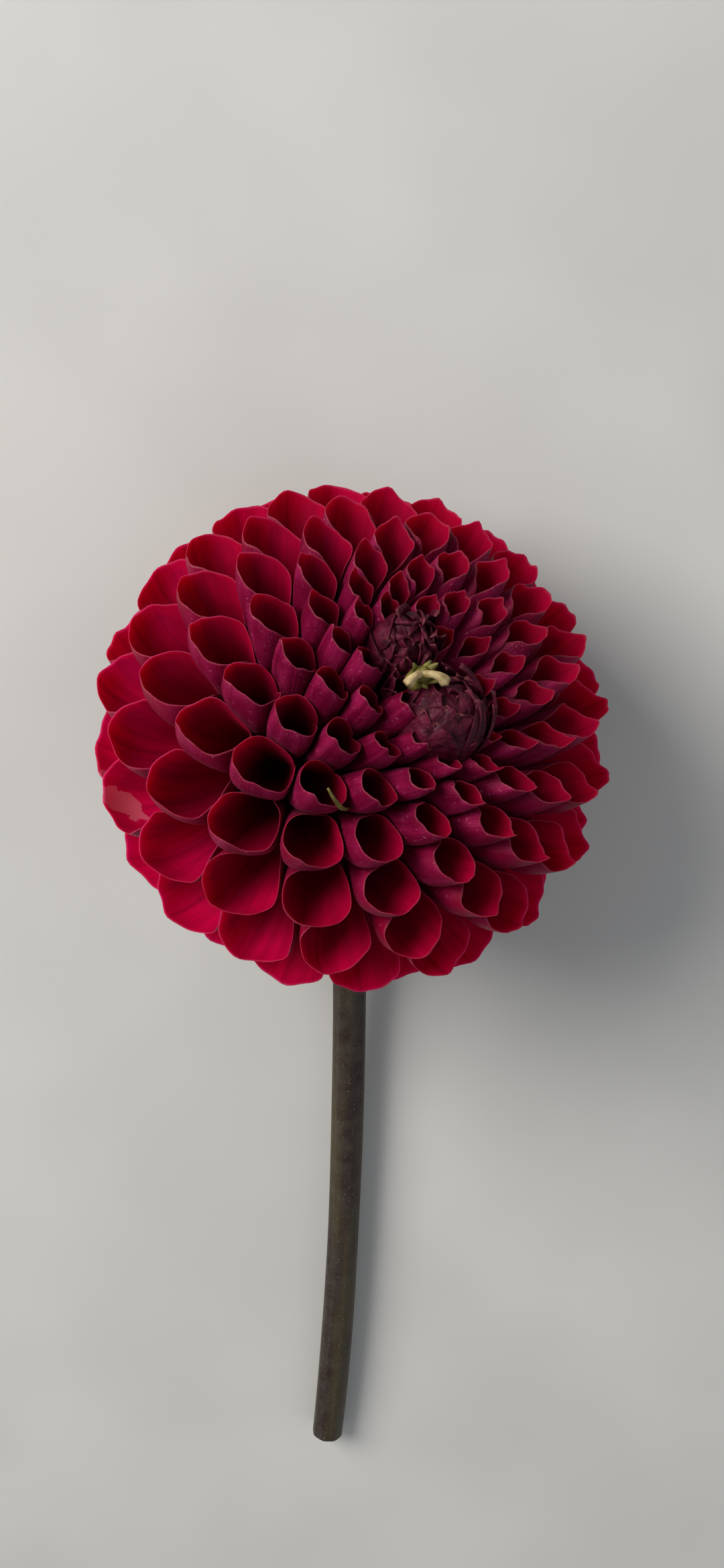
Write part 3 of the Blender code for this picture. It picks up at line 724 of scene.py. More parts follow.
def ellipsoid_rings(centre, axis, radius, height, grid, bumps=0.0):
    """The rings of an ellipsoid from pole to pole along an axis, with shallow bumps."""
    side, up = across(axis)
    polar = np.linspace(0.0, math.pi, grid[0])[:, None, None]
    turn = full_turn(grid[1])[None, :, None]
    waves = np.sin(BUMPS_ROUND * turn + BUMPS_SLANT * polar)
    swell = 1 + bumps * waves * np.sin(BUMPS_DOWN * polar)
    flat = np.cos(turn) * side + np.sin(turn) * up
    return centre + np.sin(polar) * radius * swell * flat + np.cos(polar) * height * axis


def ring_frames(line):
    """The tangent at each point of a line, and two directions round it that don't twist."""
    tangents = unit(np.gradient(line, axis=0))
    sides = [across(tangents[0])[0]]
    for tangent in tangents[1:]:
        sides.append(unit(sides[-1] - tangent * (sides[-1] @ tangent)))
    sides = np.array(sides)
    return tangents, sides, np.cross(tangents, sides)


def tube_rings(line, frames, order, depth, radii, turn):
    """Rings round a line. Each lies at the point that the order names, and is set back along
    the tangent there by its depth."""
    tangents, sides, ups = frames
    flat = np.cos(turn)[None, :, None] * sides[order][:, None]
    flat = flat + np.sin(turn)[None, :, None] * ups[order][:, None]
    middle = line[order] - tangents[order] * depth[:, None]
    return middle[:, None] + radii[..., None] * flat


# The ray florets


def shape_of(floret, name):
    """A form value at the floret's age."""
    return by_age(floret.angle, FLORET_FORM[name])


def width_at(floret, along):
    """The floret's radius: it widens from the root to a belly, then narrows a little."""
    belly = shape_of(floret, "belly")
    widest = RISE_POWER * (1 + belly) / ((1 + RISE_POWER) * belly)
    peak = widest**RISE_POWER * (1 + belly * (1 - widest))
    rise = along**RISE_POWER * (1 + belly * (1 - along)) / peak
    taper = CLOSED_TAPER * floret.closed * np.clip(along, 0.0, 1.0) ** CLOSED_TAPER_POWER
    return floret.mouth * (TUBE_SHARE + (1 - TUBE_SHARE) * rise) * (1 - taper)


def room_round(floret, middle, outward):
    """How far the wall may go out before it meets the planes halfway to the neighbours.
    The planes are blended by a power mean, so the corners between them are rounded."""
    shift = middle[..., None, :] - floret.near_roots
    level = (shift * floret.near_axes).sum(axis=-1, keepdims=True)
    between = floret.near_roots + floret.near_axes * level - middle[..., None, :]
    apart = np.linalg.norm(between, axis=-1)
    facing = (between * outward[..., None, :]).sum(axis=-1) / apart
    limits = floret.near_shares * apart / np.maximum(facing, LEAST_FACING)
    blended = (limits**-CORNER_SHARPNESS).sum(axis=-1) ** (-1 / CORNER_SHARPNESS)
    return blended - PETAL_GAP / 2


def press_flat(floret, width, along, middle, outward):
    """The wall's width, pressed in where it would meet a neighbour. The outer side of the
    tip may lie over the neighbours a little."""
    room = np.maximum(room_round(floret, middle, outward), LEAST_ROOM * floret.mouth)
    tipward = np.clip(-(outward * floret.inward).sum(axis=-1), 0.0, 1.0)
    upper = np.clip((along - TIP_FROM) / (1 - TIP_FROM), 0.0, 1.0)
    room = room * (1 + TIP_OVERLAP * tipward * upper)
    return (width**-PRESS_SHARPNESS + room**-PRESS_SHARPNESS) ** (-1 / PRESS_SHARPNESS)


def clear_of_buds(points):
    """Points inside a bud are pushed out along its own radius, to its skin."""
    for bud in (LOWER_BUD, UPPER_BUD):
        origin, axis = eye_frame(bud)
        shift = points - origin
        up = (shift * axis).sum(axis=-1, keepdims=True) * axis
        scaled = up / bud["height"] + (shift - up) / bud["radius"]
        depth = np.linalg.norm(scaled, axis=-1, keepdims=True)
        points = origin + shift * np.maximum(1.0, 1.0 / np.maximum(depth, LEAST_DEPTH))
    return points


def above_surface(points):
    """Low points are squeezed together just above the surface, and none passes through it."""
    height = points[..., 2]
    share = np.exp(np.minimum(height / SQUEEZE_FROM - 1, 0.0))
    squeezed = SQUEEZE_TO + (SQUEEZE_FROM - SQUEEZE_TO) * share
    points[..., 2] = np.where(height < SQUEEZE_FROM, squeezed, height)
    return points


def draw_chances(floret, rng):
    """The chance part of one floret's form. The order of the draws is fixed."""
    most = POINT_REACH[1] + POINT_REACH_CLOSED * (1 - floret.openness)
    return {
        "phases": rng.uniform(0, 2 * math.pi, PHASE_COUNT),
        "low": rng.normal(0, LOW_RIM_CHANCE),
        "corner": rng.choice([-1, 1]) * rng.uniform(*CORNER_TURNS),
        "pinch": rng.uniform(0.0, CORNER_PINCH),
        "point": rng.uniform(POINT_REACH[0], most),
        "tight": rng.uniform(*MARGIN_ROLL) * (1 - OPEN_UNROLL * floret.openness),
        "hand": rng.choice([-1, 1]),
    }


def point_bump(turn):
    """A soft bump in the middle of the outer side, where the petal's tip is."""
    return np.exp(-((turn / POINT_SPREAD) ** 2))


def rim_height(floret, swing, turn, shaded, chances):
    """How far up the floret its rim lies. It is highest at the tip, on the outer side, falls
    towards the margins, is tilted up on the shaded side and is waved."""
    low = shape_of(floret, "low_rim") + chances["low"]
    low = low + (CLOSED_RIM - low) * floret.closed
    even = shape_of(floret, "even_fall")
    rounded = np.sqrt(1 - np.abs(swing) ** (1 / RIM_POWER))
    level = (1 - even) * rounded + even * (1 + np.cos(swing * math.pi)) / 2
    rim = low + (1 - low) * level
    rim = rim + shape_of(floret, "rim_tilt") * shaded * (1 - np.abs(swing) ** TILT_POWER)
    rim = rim + POINT_RISE * (2 - floret.openness) * point_bump(turn)
    for phase, (lobes, height) in zip(chances["phases"], RIM_WAVES):
        rim = rim + height * np.sin(lobes * turn + phase)
    return rim - MARGIN_FALL * np.abs(swing) ** MARGIN_FALL_POWER


def wall_swell(rise, swing, turn, chances):
    """The wall's width over its plain width: both margins are rolled in, one of them tighter,
    the wall is waved, and its mouth has a pinched corner and a point."""
    tight = chances["tight"] * np.where(swing * chances["hand"] > 0, 1.0, OUTER_ROLL)
    swell = 1 - tight * np.abs(swing) ** MARGIN_ROLL_POWER
    for phase, (lobes, height, power) in zip(chances["phases"][len(RIM_WAVES) :], WALL_WAVES):
        swell = swell + height * np.sin(lobes * turn + phase) * rise**power
    pinch = chances["pinch"] * np.exp(-(((turn - chances["corner"]) / CORNER_SPREAD) ** 2))
    point = chances["point"] * point_bump(turn)
    return swell * (1 + (pinch + point) * rise**MOUTH_POWER)


def floret_grid(floret, rng):
    """The middle surface of one rolled petal, and how far up and round it each point lies.

    The grid runs from the root to the rim, and from one margin round the outer side to the
    other. A point lies on the bent middle line of its row, moved outwards by the wall's
    width there. The upper part bends towards the light, and the lip flares out. The margins
    pass each other on the side of the eyes.
    """
    rise = (1 - (1 - np.linspace(0.0, 1.0, ROWS)) ** ROW_CROWDING)[:, None]
    steps = np.linspace(-1.0, 1.0, COLUMNS)[None]
    swing = (1 - COLUMN_CROWDING) * steps + COLUMN_CROWDING * np.sin(steps * math.pi / 2)
    chances = draw_chances(floret, rng)
    turn = swing * shape_of(floret, "wrap") * math.pi
    outward = -np.cos(turn)[..., None] * floret.inward + np.sin(turn)[..., None] * floret.side
    light = LIGHT_WAY - floret.axis * (LIGHT_WAY @ floret.axis)
    shaded = -(outward * light).sum(axis=-1)
    along = rise * rim_height(floret, swing, turn, shaded, chances)
    lip = LIP_FLARE * (2 - floret.openness) * rise**LIP_RISE_POWER
    lip = lip * floret.mouth * (1 - np.abs(swing)) ** LIP_FALL_POWER
    width = width_at(floret, along) * wall_swell(rise, swing, turn, chances) + lip
    bend = shape_of(floret, "incurve") * np.clip(along - BEND_FROM, 0.0, 1.0) ** 2
    bend = bend[..., None] * floret.mouth * floret.inward
    lift = LIGHT_BEND * np.clip(along - LIGHT_BEND_FROM, 0.0, 1.0) ** 2
    reach = along * floret.length * shape_of(floret, "reach")
    middle = floret.root + reach[..., None] * floret.axis + bend
    outward = outward * np.ones_like(middle)
    pressed = press_flat(floret, width, along, middle, outward)
    points = middle + outward * pressed[..., None] + lift[..., None] * floret.mouth * light
    return points, rise, swing


def clears_stem(points):
    """Whether a floret stays clear of the stem."""
    line = stem_line(np.linspace(0.0, 1.0, STEM_CHECKS))
    apart = np.linalg.norm(points.reshape(-1, 1, 3) - line[None], axis=2)
    return apart.min() > STEM_RADIUS + STEM_CLEARANCE


def grain_of(rise, swing, width, length, tone=MIDDLE_TONE, age=0.0):
    """What the materials read on each point of a shell: its place in shares of the petal and
    in millimetres, and the petal's tone and age."""
    return {
        "rise": rise,
        "swing": swing,
        "tone": tone,
        "age": age,
        "grain_across": swing * width,
        "grain_along": rise * length,
    }


def make_florets(name, florets, rng):
    """One piece of rolled petals, fitted round the buds and the surface."""
    grown = [(floret, *floret_grid(floret, rng)) for floret in florets]
    kept = [one for one in grown if clears_stem(one[1][-1])]
    florets, grids, rises, swings = zip(*kept)
    grids = above_surface(clear_of_buds(np.array(grids)))
    rise = np.array(rises) * np.ones(grids.shape[:3])
    swing = np.array(swings) * np.ones(grids.shape[:3])
    tone, angle, mouth, length = (
        np.array([getattr(floret, field) for floret in florets])[:, None, None]
        for field in ("tone", "angle", "mouth", "length")
    )
    edge = np.maximum(rise, np.abs(swing))
    thickness = PETAL_THICKNESS * (1 - EDGE_THINNING * edge**EDGE_POWER)
    age = angle / FULL_AGE
    grain = grain_of(rise, swing, mouth / MM * math.pi, length / MM, tone, age)
    return make_shells(name, grids, thickness, grain)


# The eye buds


def bud_points(bud, polar, turn, above):
    """Points over a bud's dome. Polar and turn are measured from the pole where its scales
    meet, and above is the height over the dome's skin."""
    origin, axis = eye_frame(bud)
    pole = np.array(bud["pole"])
    side = unit(X_WAY - pole * pole[0])
    up = np.cross(pole, side)
    flat = np.cos(turn)[..., None] * side + np.sin(turn)[..., None] * up
    way = np.sin(polar)[..., None] * flat + np.cos(polar)[..., None] * pole
    level = (way @ axis)[..., None] * axis
    skin = (way - level) * bud["radius"] + level * bud["height"]
    return origin + skin + way * above[..., None]


def make_scales(name, bud, base, tip, turns, widths, lifts, swirl, rng):
    """Overlapping scales as one piece. Each is a grid from its base to its tip, by a swing to
    both sides of a rounded outline. The scale hugs the dome at its base and stands off it
    towards its tip, its edges curl out, and it is creased along its length."""
    rise = np.linspace(0.0, 1.0, SCALE_ROWS)[None, :, None]
    swing = np.linspace(-1.0, 1.0, SCALE_COLUMNS)[None, None, :]
    shift, curled, strayed, lifted, creased, toned = rng.normal(
        0.0, 1.0, (SCALE_CHANCES, len(base), 1, 1)
    )
    base, tip, turns, widths, lifts = (
        values[:, None, None] for values in (base, tip, turns, widths, lifts)
    )
    outline = SCALE_FOOT + SCALE_SWELL * np.sin(math.pi * rise**SCALE_SWELL_POWER)
    outline = outline * (1 - rise**SCALE_TIP_POWER) ** 0.5
    polar = base + (tip - base) * rise
    turn = turns + swirl * rise + SCALE_STRAY * strayed * rise**2
    turn = turn + swing * widths * outline / np.maximum(np.sin(polar), LEAST_SINE)
    bends = np.sin(SCALE_BEND_WAVES * swing + SCALE_BEND_SHIFT * shift)
    polar = polar + SCALE_BEND * bends * rise**2
    stand = lifts * (SCALE_HUG + (1 - SCALE_HUG) * rise**2) * (1 + SCALE_LIFT_CHANCE * lifted)
    ripples = np.sin(SCALE_RIPPLE_WAVES * swing + SCALE_RIPPLE_SHIFT * shift)
    stand = stand + bud["ripple"] * ripples * rise**SCALE_RIPPLE_POWER
    curl = SCALE_CURL * np.abs(swing) ** 3 * rise * (1 + SCALE_CURL_CHANCE * curled)
    creases = SCALE_CREASES * swing + SCALE_CREASE_SLANT * rise + SCALE_CREASE_SHIFT * creased
    crease = SCALE_CREASE * np.sin(creases) * (1 - swing**2)
    keel = SCALE_KEEL * np.exp(-((swing / SCALE_KEEL_WIDTH) ** 2)) * (1 - rise)
    points = bud_points(bud, polar, turn * np.ones_like(polar), stand + curl + crease + keel)
    edge = np.maximum(rise, np.abs(swing))
    walls = BUD_THICKNESS * (1 - SCALE_EDGE_THINNING * edge**SCALE_EDGE_POWER)
    walls = walls * np.ones(points.shape[:3])
    tone = MIDDLE_TONE + SCALE_TONE_CHANCE * toned
    grain = grain_of(rise, swing, *SCALE_GRAIN, tone)
    return make_shells(name, above_surface(points), walls, grain)


def make_bud_scales(name, bud, rng):
    """The bud's own scales, in a spiral from its pole down its flanks."""
    count = bud["scales"]
    share = (np.arange(count) + 0.5) / count
    middle = BUD_FROM + BUD_RANGE * share**BUD_CROWDING
    reach = BUD_REACH + BUD_REACH_GROWTH * share
    tip = np.maximum(middle - reach, BUD_LEAST_POLAR)
    turns = np.arange(count) * GOLDEN_ANGLE + bud["phase"]
    widths = np.interp(share, *BUD_WIDTHS)
    lifts = np.interp(share, *BUD_LIFTS) * MM
    return make_scales(name, bud, middle + reach, tip, turns, widths, lifts, SCALE_SWIRL, rng)


def make_straps(name, bud, rng):
    """Narrow young florets that curl over the flank of a bud, in two loose rows."""
    count = bud["straps"]
    row = np.arange(count) % 2
    turns = np.linspace(math.radians(bud["strap_from"]), math.radians(bud["strap_to"]), count)
    base = np.radians(STRAP_BASE + STRAP_ROW_BASE * row)
    tip = STRAP_TIP + STRAP_ROW_TIP * row
    tip = np.radians(tip + rng.uniform(-STRAP_TIP_CHANCE, STRAP_TIP_CHANCE, count))
    widths = rng.uniform(*STRAP_WIDTHS, count)
    lifts = (STRAP_LIFT + STRAP_ROW_LIFT * row + rng.uniform(0.0, 1.0, count)) * MM
    return make_scales(name, bud, base, tip, turns, widths, lifts, STRAP_SWIRL, rng)


def make_bud_core(name, bud):
    """The closed core under a bud's scales."""
    origin, axis = eye_frame(bud)
    radius, height = bud["radius"] * BUD_CORE, bud["height"] * BUD_CORE
    return make_skin(name, ellipsoid_rings(origin, axis, radius, height, BUD_CORE_GRID))


# The receptacle


def make_receptacle():
    """The closed core that carries the florets: a ball flattened along the neck."""
    sizes = (RECEPTACLE_RADIUS, RECEPTACLE_DEPTH, RECEPTACLE_GRID)
    return make_skin("receptacle", ellipsoid_rings(HEAD_CENTRE, NECK, *sizes))


# The disc florets and the chaff between the eyes


def disc_base():
    """The point between the eyes that the disc florets grow from."""
    return ball_point(np.array([0j]))[0] + FACE * DISC_START + DISC_OFFSET


def disc_line(direction, length, shares):
    """A bowed line that rises from between the eyes, leans out to one side and droops."""
    lean = unit(np.array(direction) - FACE * (np.array(direction) @ FACE))
    rise = np.sin(shares * math.pi * DISC_BOW_SHARE) * length * DISC_BOW
    line = disc_base() + np.outer(shares * length, lean) + np.outer(rise, FACE)
    return line - np.outer(DISC_DROOP * shares**DISC_DROOP_POWER, LIGHT_WAY)


def mound_centre():
    """The middle of the green mound, under the place where the two tubes begin."""
    return disc_base() - FACE * MOUND_SUNK + MOUND_SHIFT


def make_disc_mound():
    """The closed green mound that the disc florets grow from."""
    sizes = (MOUND_RADIUS, MOUND_HEIGHT, MOUND_GRID, MOUND_BUMPS)
    return make_skin("disc_mound", ellipsoid_rings(mound_centre(), FACE, *sizes))


def make_disc_floret(name, direction, length):
    """A closed tube that is five-sided and swollen at its mouth, with a small hollow inside
    five lobes. The radius is the tube's own, times a waist, a swelling and the lobes."""
    out = np.linspace(0.0, 1.0, DISC_GRID[0])
    turn = full_turn(DISC_GRID[1])
    mouth = DISC_MOUTH * np.exp(-(((out - DISC_MOUTH_AT) / DISC_MOUTH_SPREAD) ** 2))
    swell = DISC_WAIST + DISC_WIDENING * out + mouth
    swell = (swell + DISC_KNOT_HEIGHT * np.sin(DISC_KNOTS * out))[:, None]
    lobes = DISC_LOBE_HEIGHT * np.cos(DISC_LOBES * turn) * out[:, None] ** DISC_LOBE_POWER
    oval = np.cos(DISC_OVAL * turn + DISC_OVAL_TWIST * out[:, None])
    lobes = 1 + lobes + DISC_OVAL_HEIGHT * oval
    outer = DISC_RADIUS * swell * lobes
    outer[0] = 0.0
    outer[-1] *= DISC_LIP
    hollow_radii, hollow_depths = np.array(DISC_HOLLOW).T
    radii = np.concatenate([outer, outer[-1] * hollow_radii[:, None]])
    order = np.concatenate([np.arange(len(out)), np.full(len(DISC_HOLLOW), len(out) - 1)])
    depth = np.concatenate([np.zeros(len(out)), hollow_depths * MM])
    line = disc_line(direction, length, out)
    rings = tube_rings(line, ring_frames(line), order, depth, radii, turn)
    rise = out[order][:, None] * np.ones(len(turn))
    return make_skin(name, rings, {"rise": rise})


def make_tuft(name, foot, count, heights, half, spread, rng):
    """A ring of small pointed scales that stand round a foot and lean a little outwards."""
    side, up = across(FACE)
    turn = (full_turn(count) + rng.normal(0, TUFT_TURN_CHANCE, count))[:, None, None]
    rise = np.linspace(0.0, 1.0, TUFT_GRID[0])[None, :, None]
    swing = np.linspace(-1.0, 1.0, TUFT_GRID[1])[None, None, :]
    one = np.ones((count, *TUFT_GRID))
    height = rng.uniform(*heights, (count, 1, 1)) * rise * one
    outline = np.sin(math.pi * (TUFT_FOOT + (1 - TUFT_FOOT) * rise)) ** TUFT_OUTLINE_POWER
    width = half * outline * swing * one
    reach = spread * (TUFT_STAND + TUFT_LEAN * rise**2 + TUFT_DISH * swing**2) * one
    out = (np.cos(turn) * one)[..., None] * side + (np.sin(turn) * one)[..., None] * up
    points = foot + out * reach[..., None] + FACE * height[..., None]
    points = points + np.cross(FACE, out) * width[..., None]
    return make_shells(name, points, TUFT_THICKNESS * one, grain_of(rise, swing, *TUFT_GRAIN))


def make_chaff_blade():
    """The thin blade between the florets: it rises from its root and bends over to one side,
    with a long pointed outline that is folded along its middle and slightly waved."""
    spot = np.array([CHAFF_SPOT])
    root = root_point(spot, CHAFF_DEPTH)[0]
    axis = unit(ball_point(spot)[0] - root)
    over = unit(CHAFF_WAY - axis * (CHAFF_WAY @ axis))
    flat = np.cross(axis, over)
    shares = np.linspace(0.0, 1.0, CHAFF_GRID[0])
    line = root + np.outer((1 - (1 - shares) ** CHAFF_CURVE) * CHAFF_LENGTH, axis)
    line = line + np.outer(CHAFF_BOW * shares**CHAFF_BOW_POWER, over)
    thin = np.cross(unit(np.gradient(line, axis=0)), flat)
    rise, swing = shares[:, None], np.linspace(-1.0, 1.0, CHAFF_GRID[1])[None]
    half = np.interp(rise, CHAFF_SHARES, CHAFF_WIDTHS) * MM
    fold = CHAFF_FOLD * (1 - np.abs(swing)) + CHAFF_WAVE * np.sin(CHAFF_WAVES * rise)
    points = line[:, None] + (half * swing)[..., None] * flat + fold[..., None] * thin[:, None]
    walls = CHAFF_THICKNESS * np.ones((1, *CHAFF_GRID))
    return make_shells("chaff_blade", points[None], walls, {})


# The calyx and the stem


def bract_grids(turns, path, widths, rng):
    """Fleshy bracts. Each follows a smooth curve through a path of (outward, backward) steps,
    is widest past its middle, and is hollowed and waved across its width."""
    shares = np.linspace(0.0, 1.0, len(path))
    rise = np.linspace(0.0, 1.0, BRACT_GRID[0])
    order = min(BRACT_CURVE_ORDER, len(path) - 1)
    out, back = (np.polyval(np.polyfit(shares, steps, order), rise) for steps in path.T)
    closing = np.sqrt(np.clip(BRACT_TIP - rise**BRACT_TIP_POWER, 0.0, 1.0))
    half = np.interp(rise, shares, widths) * closing
    swing = np.linspace(-1.0, 1.0, BRACT_GRID[1])
    side, up = across(NECK)
    grids = []
    for turn in turns:
        way = side * math.cos(turn) + up * math.sin(turn)
        wide = np.cross(NECK, way)
        line = HEAD_CENTRE + np.outer(out, way) - np.outer(back, NECK)
        normal = np.cross(unit(np.gradient(line, axis=0)), wide)
        wave = np.sin(BRACT_WAVES * rise + rng.uniform(0, BRACT_WAVE_SHIFT))
        wave = BRACT_WAVE * wave[:, None]
        dish = (BRACT_DISH * np.sin(math.pi * rise)[:, None] + wave) * swing[None] ** 2
        grid = line[:, None] + (half[:, None] * swing[None])[..., None] * wide
        grids.append(grid - dish[..., None] * normal[:, None])
    return np.array(grids), rise[None, :, None], swing[None, None, :]


def make_bracts(name, count, phase, path, widths, thickness, rng):
    """A ring of bracts that thin out towards their tips and edges."""
    turns = full_turn(count) + phase * 2 * math.pi / count
    points, rise, swing = bract_grids(turns, path * MM, widths * MM, rng)
    walls = thickness * (1 - BRACT_THINNING * rise**TIP_THINNING_POWER)
    walls = walls * (1 - BRACT_THINNING * swing**SIDE_THINNING_POWER)
    walls = walls * np.ones(points.shape[:3])
    return make_shells(name, points, walls, {})


def make_calyx_cup():
    """The shallow green cup under the head, turned from its profile, with closed ends."""
    side, up = across(NECK)
    corners = np.arange(len(CALYX_PROFILE))
    shares = np.linspace(0, corners[-1], CUP_GRID[0])
    radii, depths = (np.interp(shares, corners, row) for row in np.array(CALYX_PROFILE).T * MM)
    radii = np.concatenate([[0.0], radii, [0.0]])
    depths = np.concatenate([depths[:1], depths, depths[-1:]])
    turn = full_turn(CUP_GRID[1])
    ribs = 1 + CUP_RIB_HEIGHT * np.cos(CUP_RIBS * turn)
    flat = np.outer(np.cos(turn), side) + np.outer(np.sin(turn), up)
    middle = HEAD_CENTRE - np.outer(depths, NECK)
    return make_skin("calyx_cup", middle[:, None] + (radii[:, None] * ribs)[..., None] * flat)


def make_stem():
    """The ribbed stem: rings along its line, with fine ribs, a swelling under the head and a
    cut end whose rim is flat and whose pith is hollow."""
    rows, columns = STEM_GRID
    shares = np.linspace(0.0, 1.0, rows)
    line = stem_line(shares)
    tangents = unit(np.gradient(line, axis=0))
    tangents[0] = -NECK
    side = unit(X_WAY - tangents * tangents[:, :1])
    turn = full_turn(columns)
    twist = turn + STEM_TWIST * shares[:, None]
    ribs = np.ones_like(twist)
    for count, height in STEM_RIBS:
        ribs = ribs + height * np.cos(count * twist)
    swell = 1 + STEM_SWELL * np.exp(-((shares / STEM_SWELL_SPREAD) ** 2))
    swell = swell + STEM_WAVE_HEIGHT * np.sin(STEM_WAVES * shares)
    radius = swell * (STEM_RADIUS + (STEM_END_RADIUS - STEM_RADIUS) * shares)
    radii = radius[:, None] * ribs
    cut_radii, cut_depths = np.array(STEM_CUT).T
    radii = np.concatenate([0 * radii[:1], radii, radii[-1] * cut_radii[:, None]])
    order = np.concatenate([[0], np.arange(rows), np.full(len(STEM_CUT), rows - 1)])
    depth = np.concatenate([np.zeros(rows + 1), cut_depths * MM])
    frames = (tangents, side, np.cross(tangents, side))
    rings = tube_rings(line, frames, order, depth, radii, turn)
    rings[..., 2] = np.maximum(rings[..., 2], STEM_FLOOR)
    one = np.ones(rings.shape[:2])
    values = {
        "cut": (np.arange(len(order)) > rows)[:, None] * one,
        "grain_across": turn * STEM_GRAIN[0] * one,
        "grain_along": shares[order][:, None] * STEM_GRAIN[1] * one,
        "tone": STEM_TONE * one,
    }
    return make_skin("stem_skin", rings, values)


# Materials: small helpers for nodes


def feed(tree, socket, value):
    """Links an output to a socket, or sets a plain value on it."""
    if isinstance(value, bpy.types.NodeSocket):
        tree.links.new(value, socket)
    else:
        socket.default_value = value


def add_node(tree, kind, inputs, **settings):
    """A shader node with its settings made and its inputs fed."""
    node = tree.nodes.new("ShaderNode" + kind)
    for name, value in settings.items():
        setattr(node, name, value)
    for key, value in inputs.items():
        feed(tree, node.inputs[key], value)
    return node


def calculate(tree, operation, *values):
    """The result of one sum."""
    return add_node(tree, "Math", dict(enumerate(values)), operation=operation).outputs[0]


def times(tree, first, second):
    """The product of two numbers."""
    return calculate(tree, "MULTIPLY", first, second)


def remap(tree, value, low, high, out_low=0.0, out_high=1.0):
    """A value's range from low to high, stretched smoothly over another range."""
    numbers = dict(enumerate((value, low, high, out_low, out_high)))
    return add_node(tree, "MapRange", numbers, interpolation_type="SMOOTHSTEP").outputs[0]


def read(tree, name):
    """A number stored on the points of a piece."""
    return add_node(tree, "Attribute", {}, attribute_name=name).outputs["Fac"]


def ramp(tree, name, *limits):
    """A stored number, remapped."""
    return remap(tree, read(tree, name), *limits)


def keel(tree, width, share):
    """A share that is highest on the middle line of a petal and gone a width away from it."""
    return remap(tree, calculate(tree, "ABSOLUTE", read(tree, "swing")), 0.0, width, share, 0.0)


def tint(tree, colour, *layers):
    """A colour with others laid over it in turn, each by its own share."""
    for share, over in layers:
        inputs = dict(zip(MIX_INPUTS, (share, colour, over)))
        colour = add_node(tree, "Mix", inputs, data_type="RGBA").outputs[MIX_OUTPUT]
    return colour


def noise(tree, vector, scale, detail=2.0, roughness=0.5):
    """Soft noise from 0 to 1."""
    inputs = {"Vector": vector, "Scale": scale, "Detail": detail, "Roughness": roughness}
    return add_node(tree, "TexNoise", inputs).outputs["Fac"]


def combine(tree, x, y, z):
    """A vector from three numbers."""
    return add_node(tree, "CombineXYZ", {0: x, 1: y, 2: z}).outputs[0]


def object_place(tree):
    """The place of a point in its piece's own space."""
    return add_node(tree, "TexCoord", {}).outputs["Object"]


def new_group(name, inputs, outputs):
    """An empty node group with number sockets: its tree, its inputs and its outputs."""
    tree = bpy.data.node_groups.new(name, "ShaderNodeTree")
    for label, value in inputs.items():
        socket = tree.interface.new_socket(label, in_out="INPUT", socket_type="NodeSocketFloat")
        socket.default_value = value
    for label in outputs:
        tree.interface.new_socket(label, in_out="OUTPUT", socket_type="NodeSocketFloat")
    start = tree.nodes.new("NodeGroupInput")
    end = tree.nodes.new("NodeGroupOutput")
    return tree, start.outputs, end.inputs


def use_group(tree, group, **values):
    """The outputs of a group that is placed in a material with its own values."""
    return add_node(tree, "Group", values, node_tree=group).outputs


def new_material(name):
    """An empty material with its tree and its shader."""
    material = bpy.data.materials.new(name)
    material.use_nodes = True
    tree = material.node_tree
    return material, tree, tree.nodes["Principled BSDF"]


def finish_skin(tree, shader, colour, rough, relief=None, sockets=None):
    """Links a material's colour. A grain drives the roughness over a range, a height gives
    relief of a depth and a strength, and other sockets are set to plain values."""
    grain, low, high = rough
    feed(tree, shader.inputs["Base Color"], colour)
    feed(tree, shader.inputs["Roughness"], remap(tree, grain, 0.0, 1.0, low, high))
    if relief:
        inputs = dict(zip(("Height", "Distance", "Strength"), relief))
        feed(tree, shader.inputs["Normal"], add_node(tree, "Bump", inputs).outputs[0])
    for name, value in (sockets or {}).items():
        shader.inputs[name].default_value = value


# Materials: effects that several pieces share


def build_ribs():
    """Fine ribs that run along a petal or a stem, and broader streaks beside them."""
    inputs = {"Spacing": 0.5, "Stretch": 0.06}
    tree, given, result = new_group("petal_ribs", inputs, ("Ribs", "Streaks"))
    tone = times(tree, read(tree, "tone"), TONE_SHIFT)
    wide = calculate(tree, "DIVIDE", read(tree, "grain_across"), given["Spacing"])
    long = times(tree, read(tree, "grain_along"), given["Stretch"])
    fine = noise(tree, combine(tree, wide, long, tone), 1.0, RIB_DETAIL, RIB_ROUGHNESS)
    broad = combine(tree, times(tree, wide, STREAK_SHARE), long, tone)
    feed(tree, result["Ribs"], remap(tree, fine, *RIB_RANGE))
    streaks = noise(tree, broad, 1.0, STREAK_DETAIL)
    feed(tree, result["Streaks"], remap(tree, streaks, *STREAK_RANGE))
    return tree


def build_mottle():
    """Soft blotches of a size in millimetres, and fine specks."""
    tree, given, result = new_group("mottle", {"Size": 4.0}, ("Blotches", "Specks"))
    scale = calculate(tree, "DIVIDE", 1 / MM, given["Size"])
    place = object_place(tree)
    fine = noise(tree, place, times(tree, scale, SPECK_FINENESS))
    feed(tree, result["Blotches"], remap(tree, noise(tree, place, scale), *BLOTCH_RANGE))
    feed(tree, result["Specks"], remap(tree, fine, *SPECK_RANGE))
    return tree


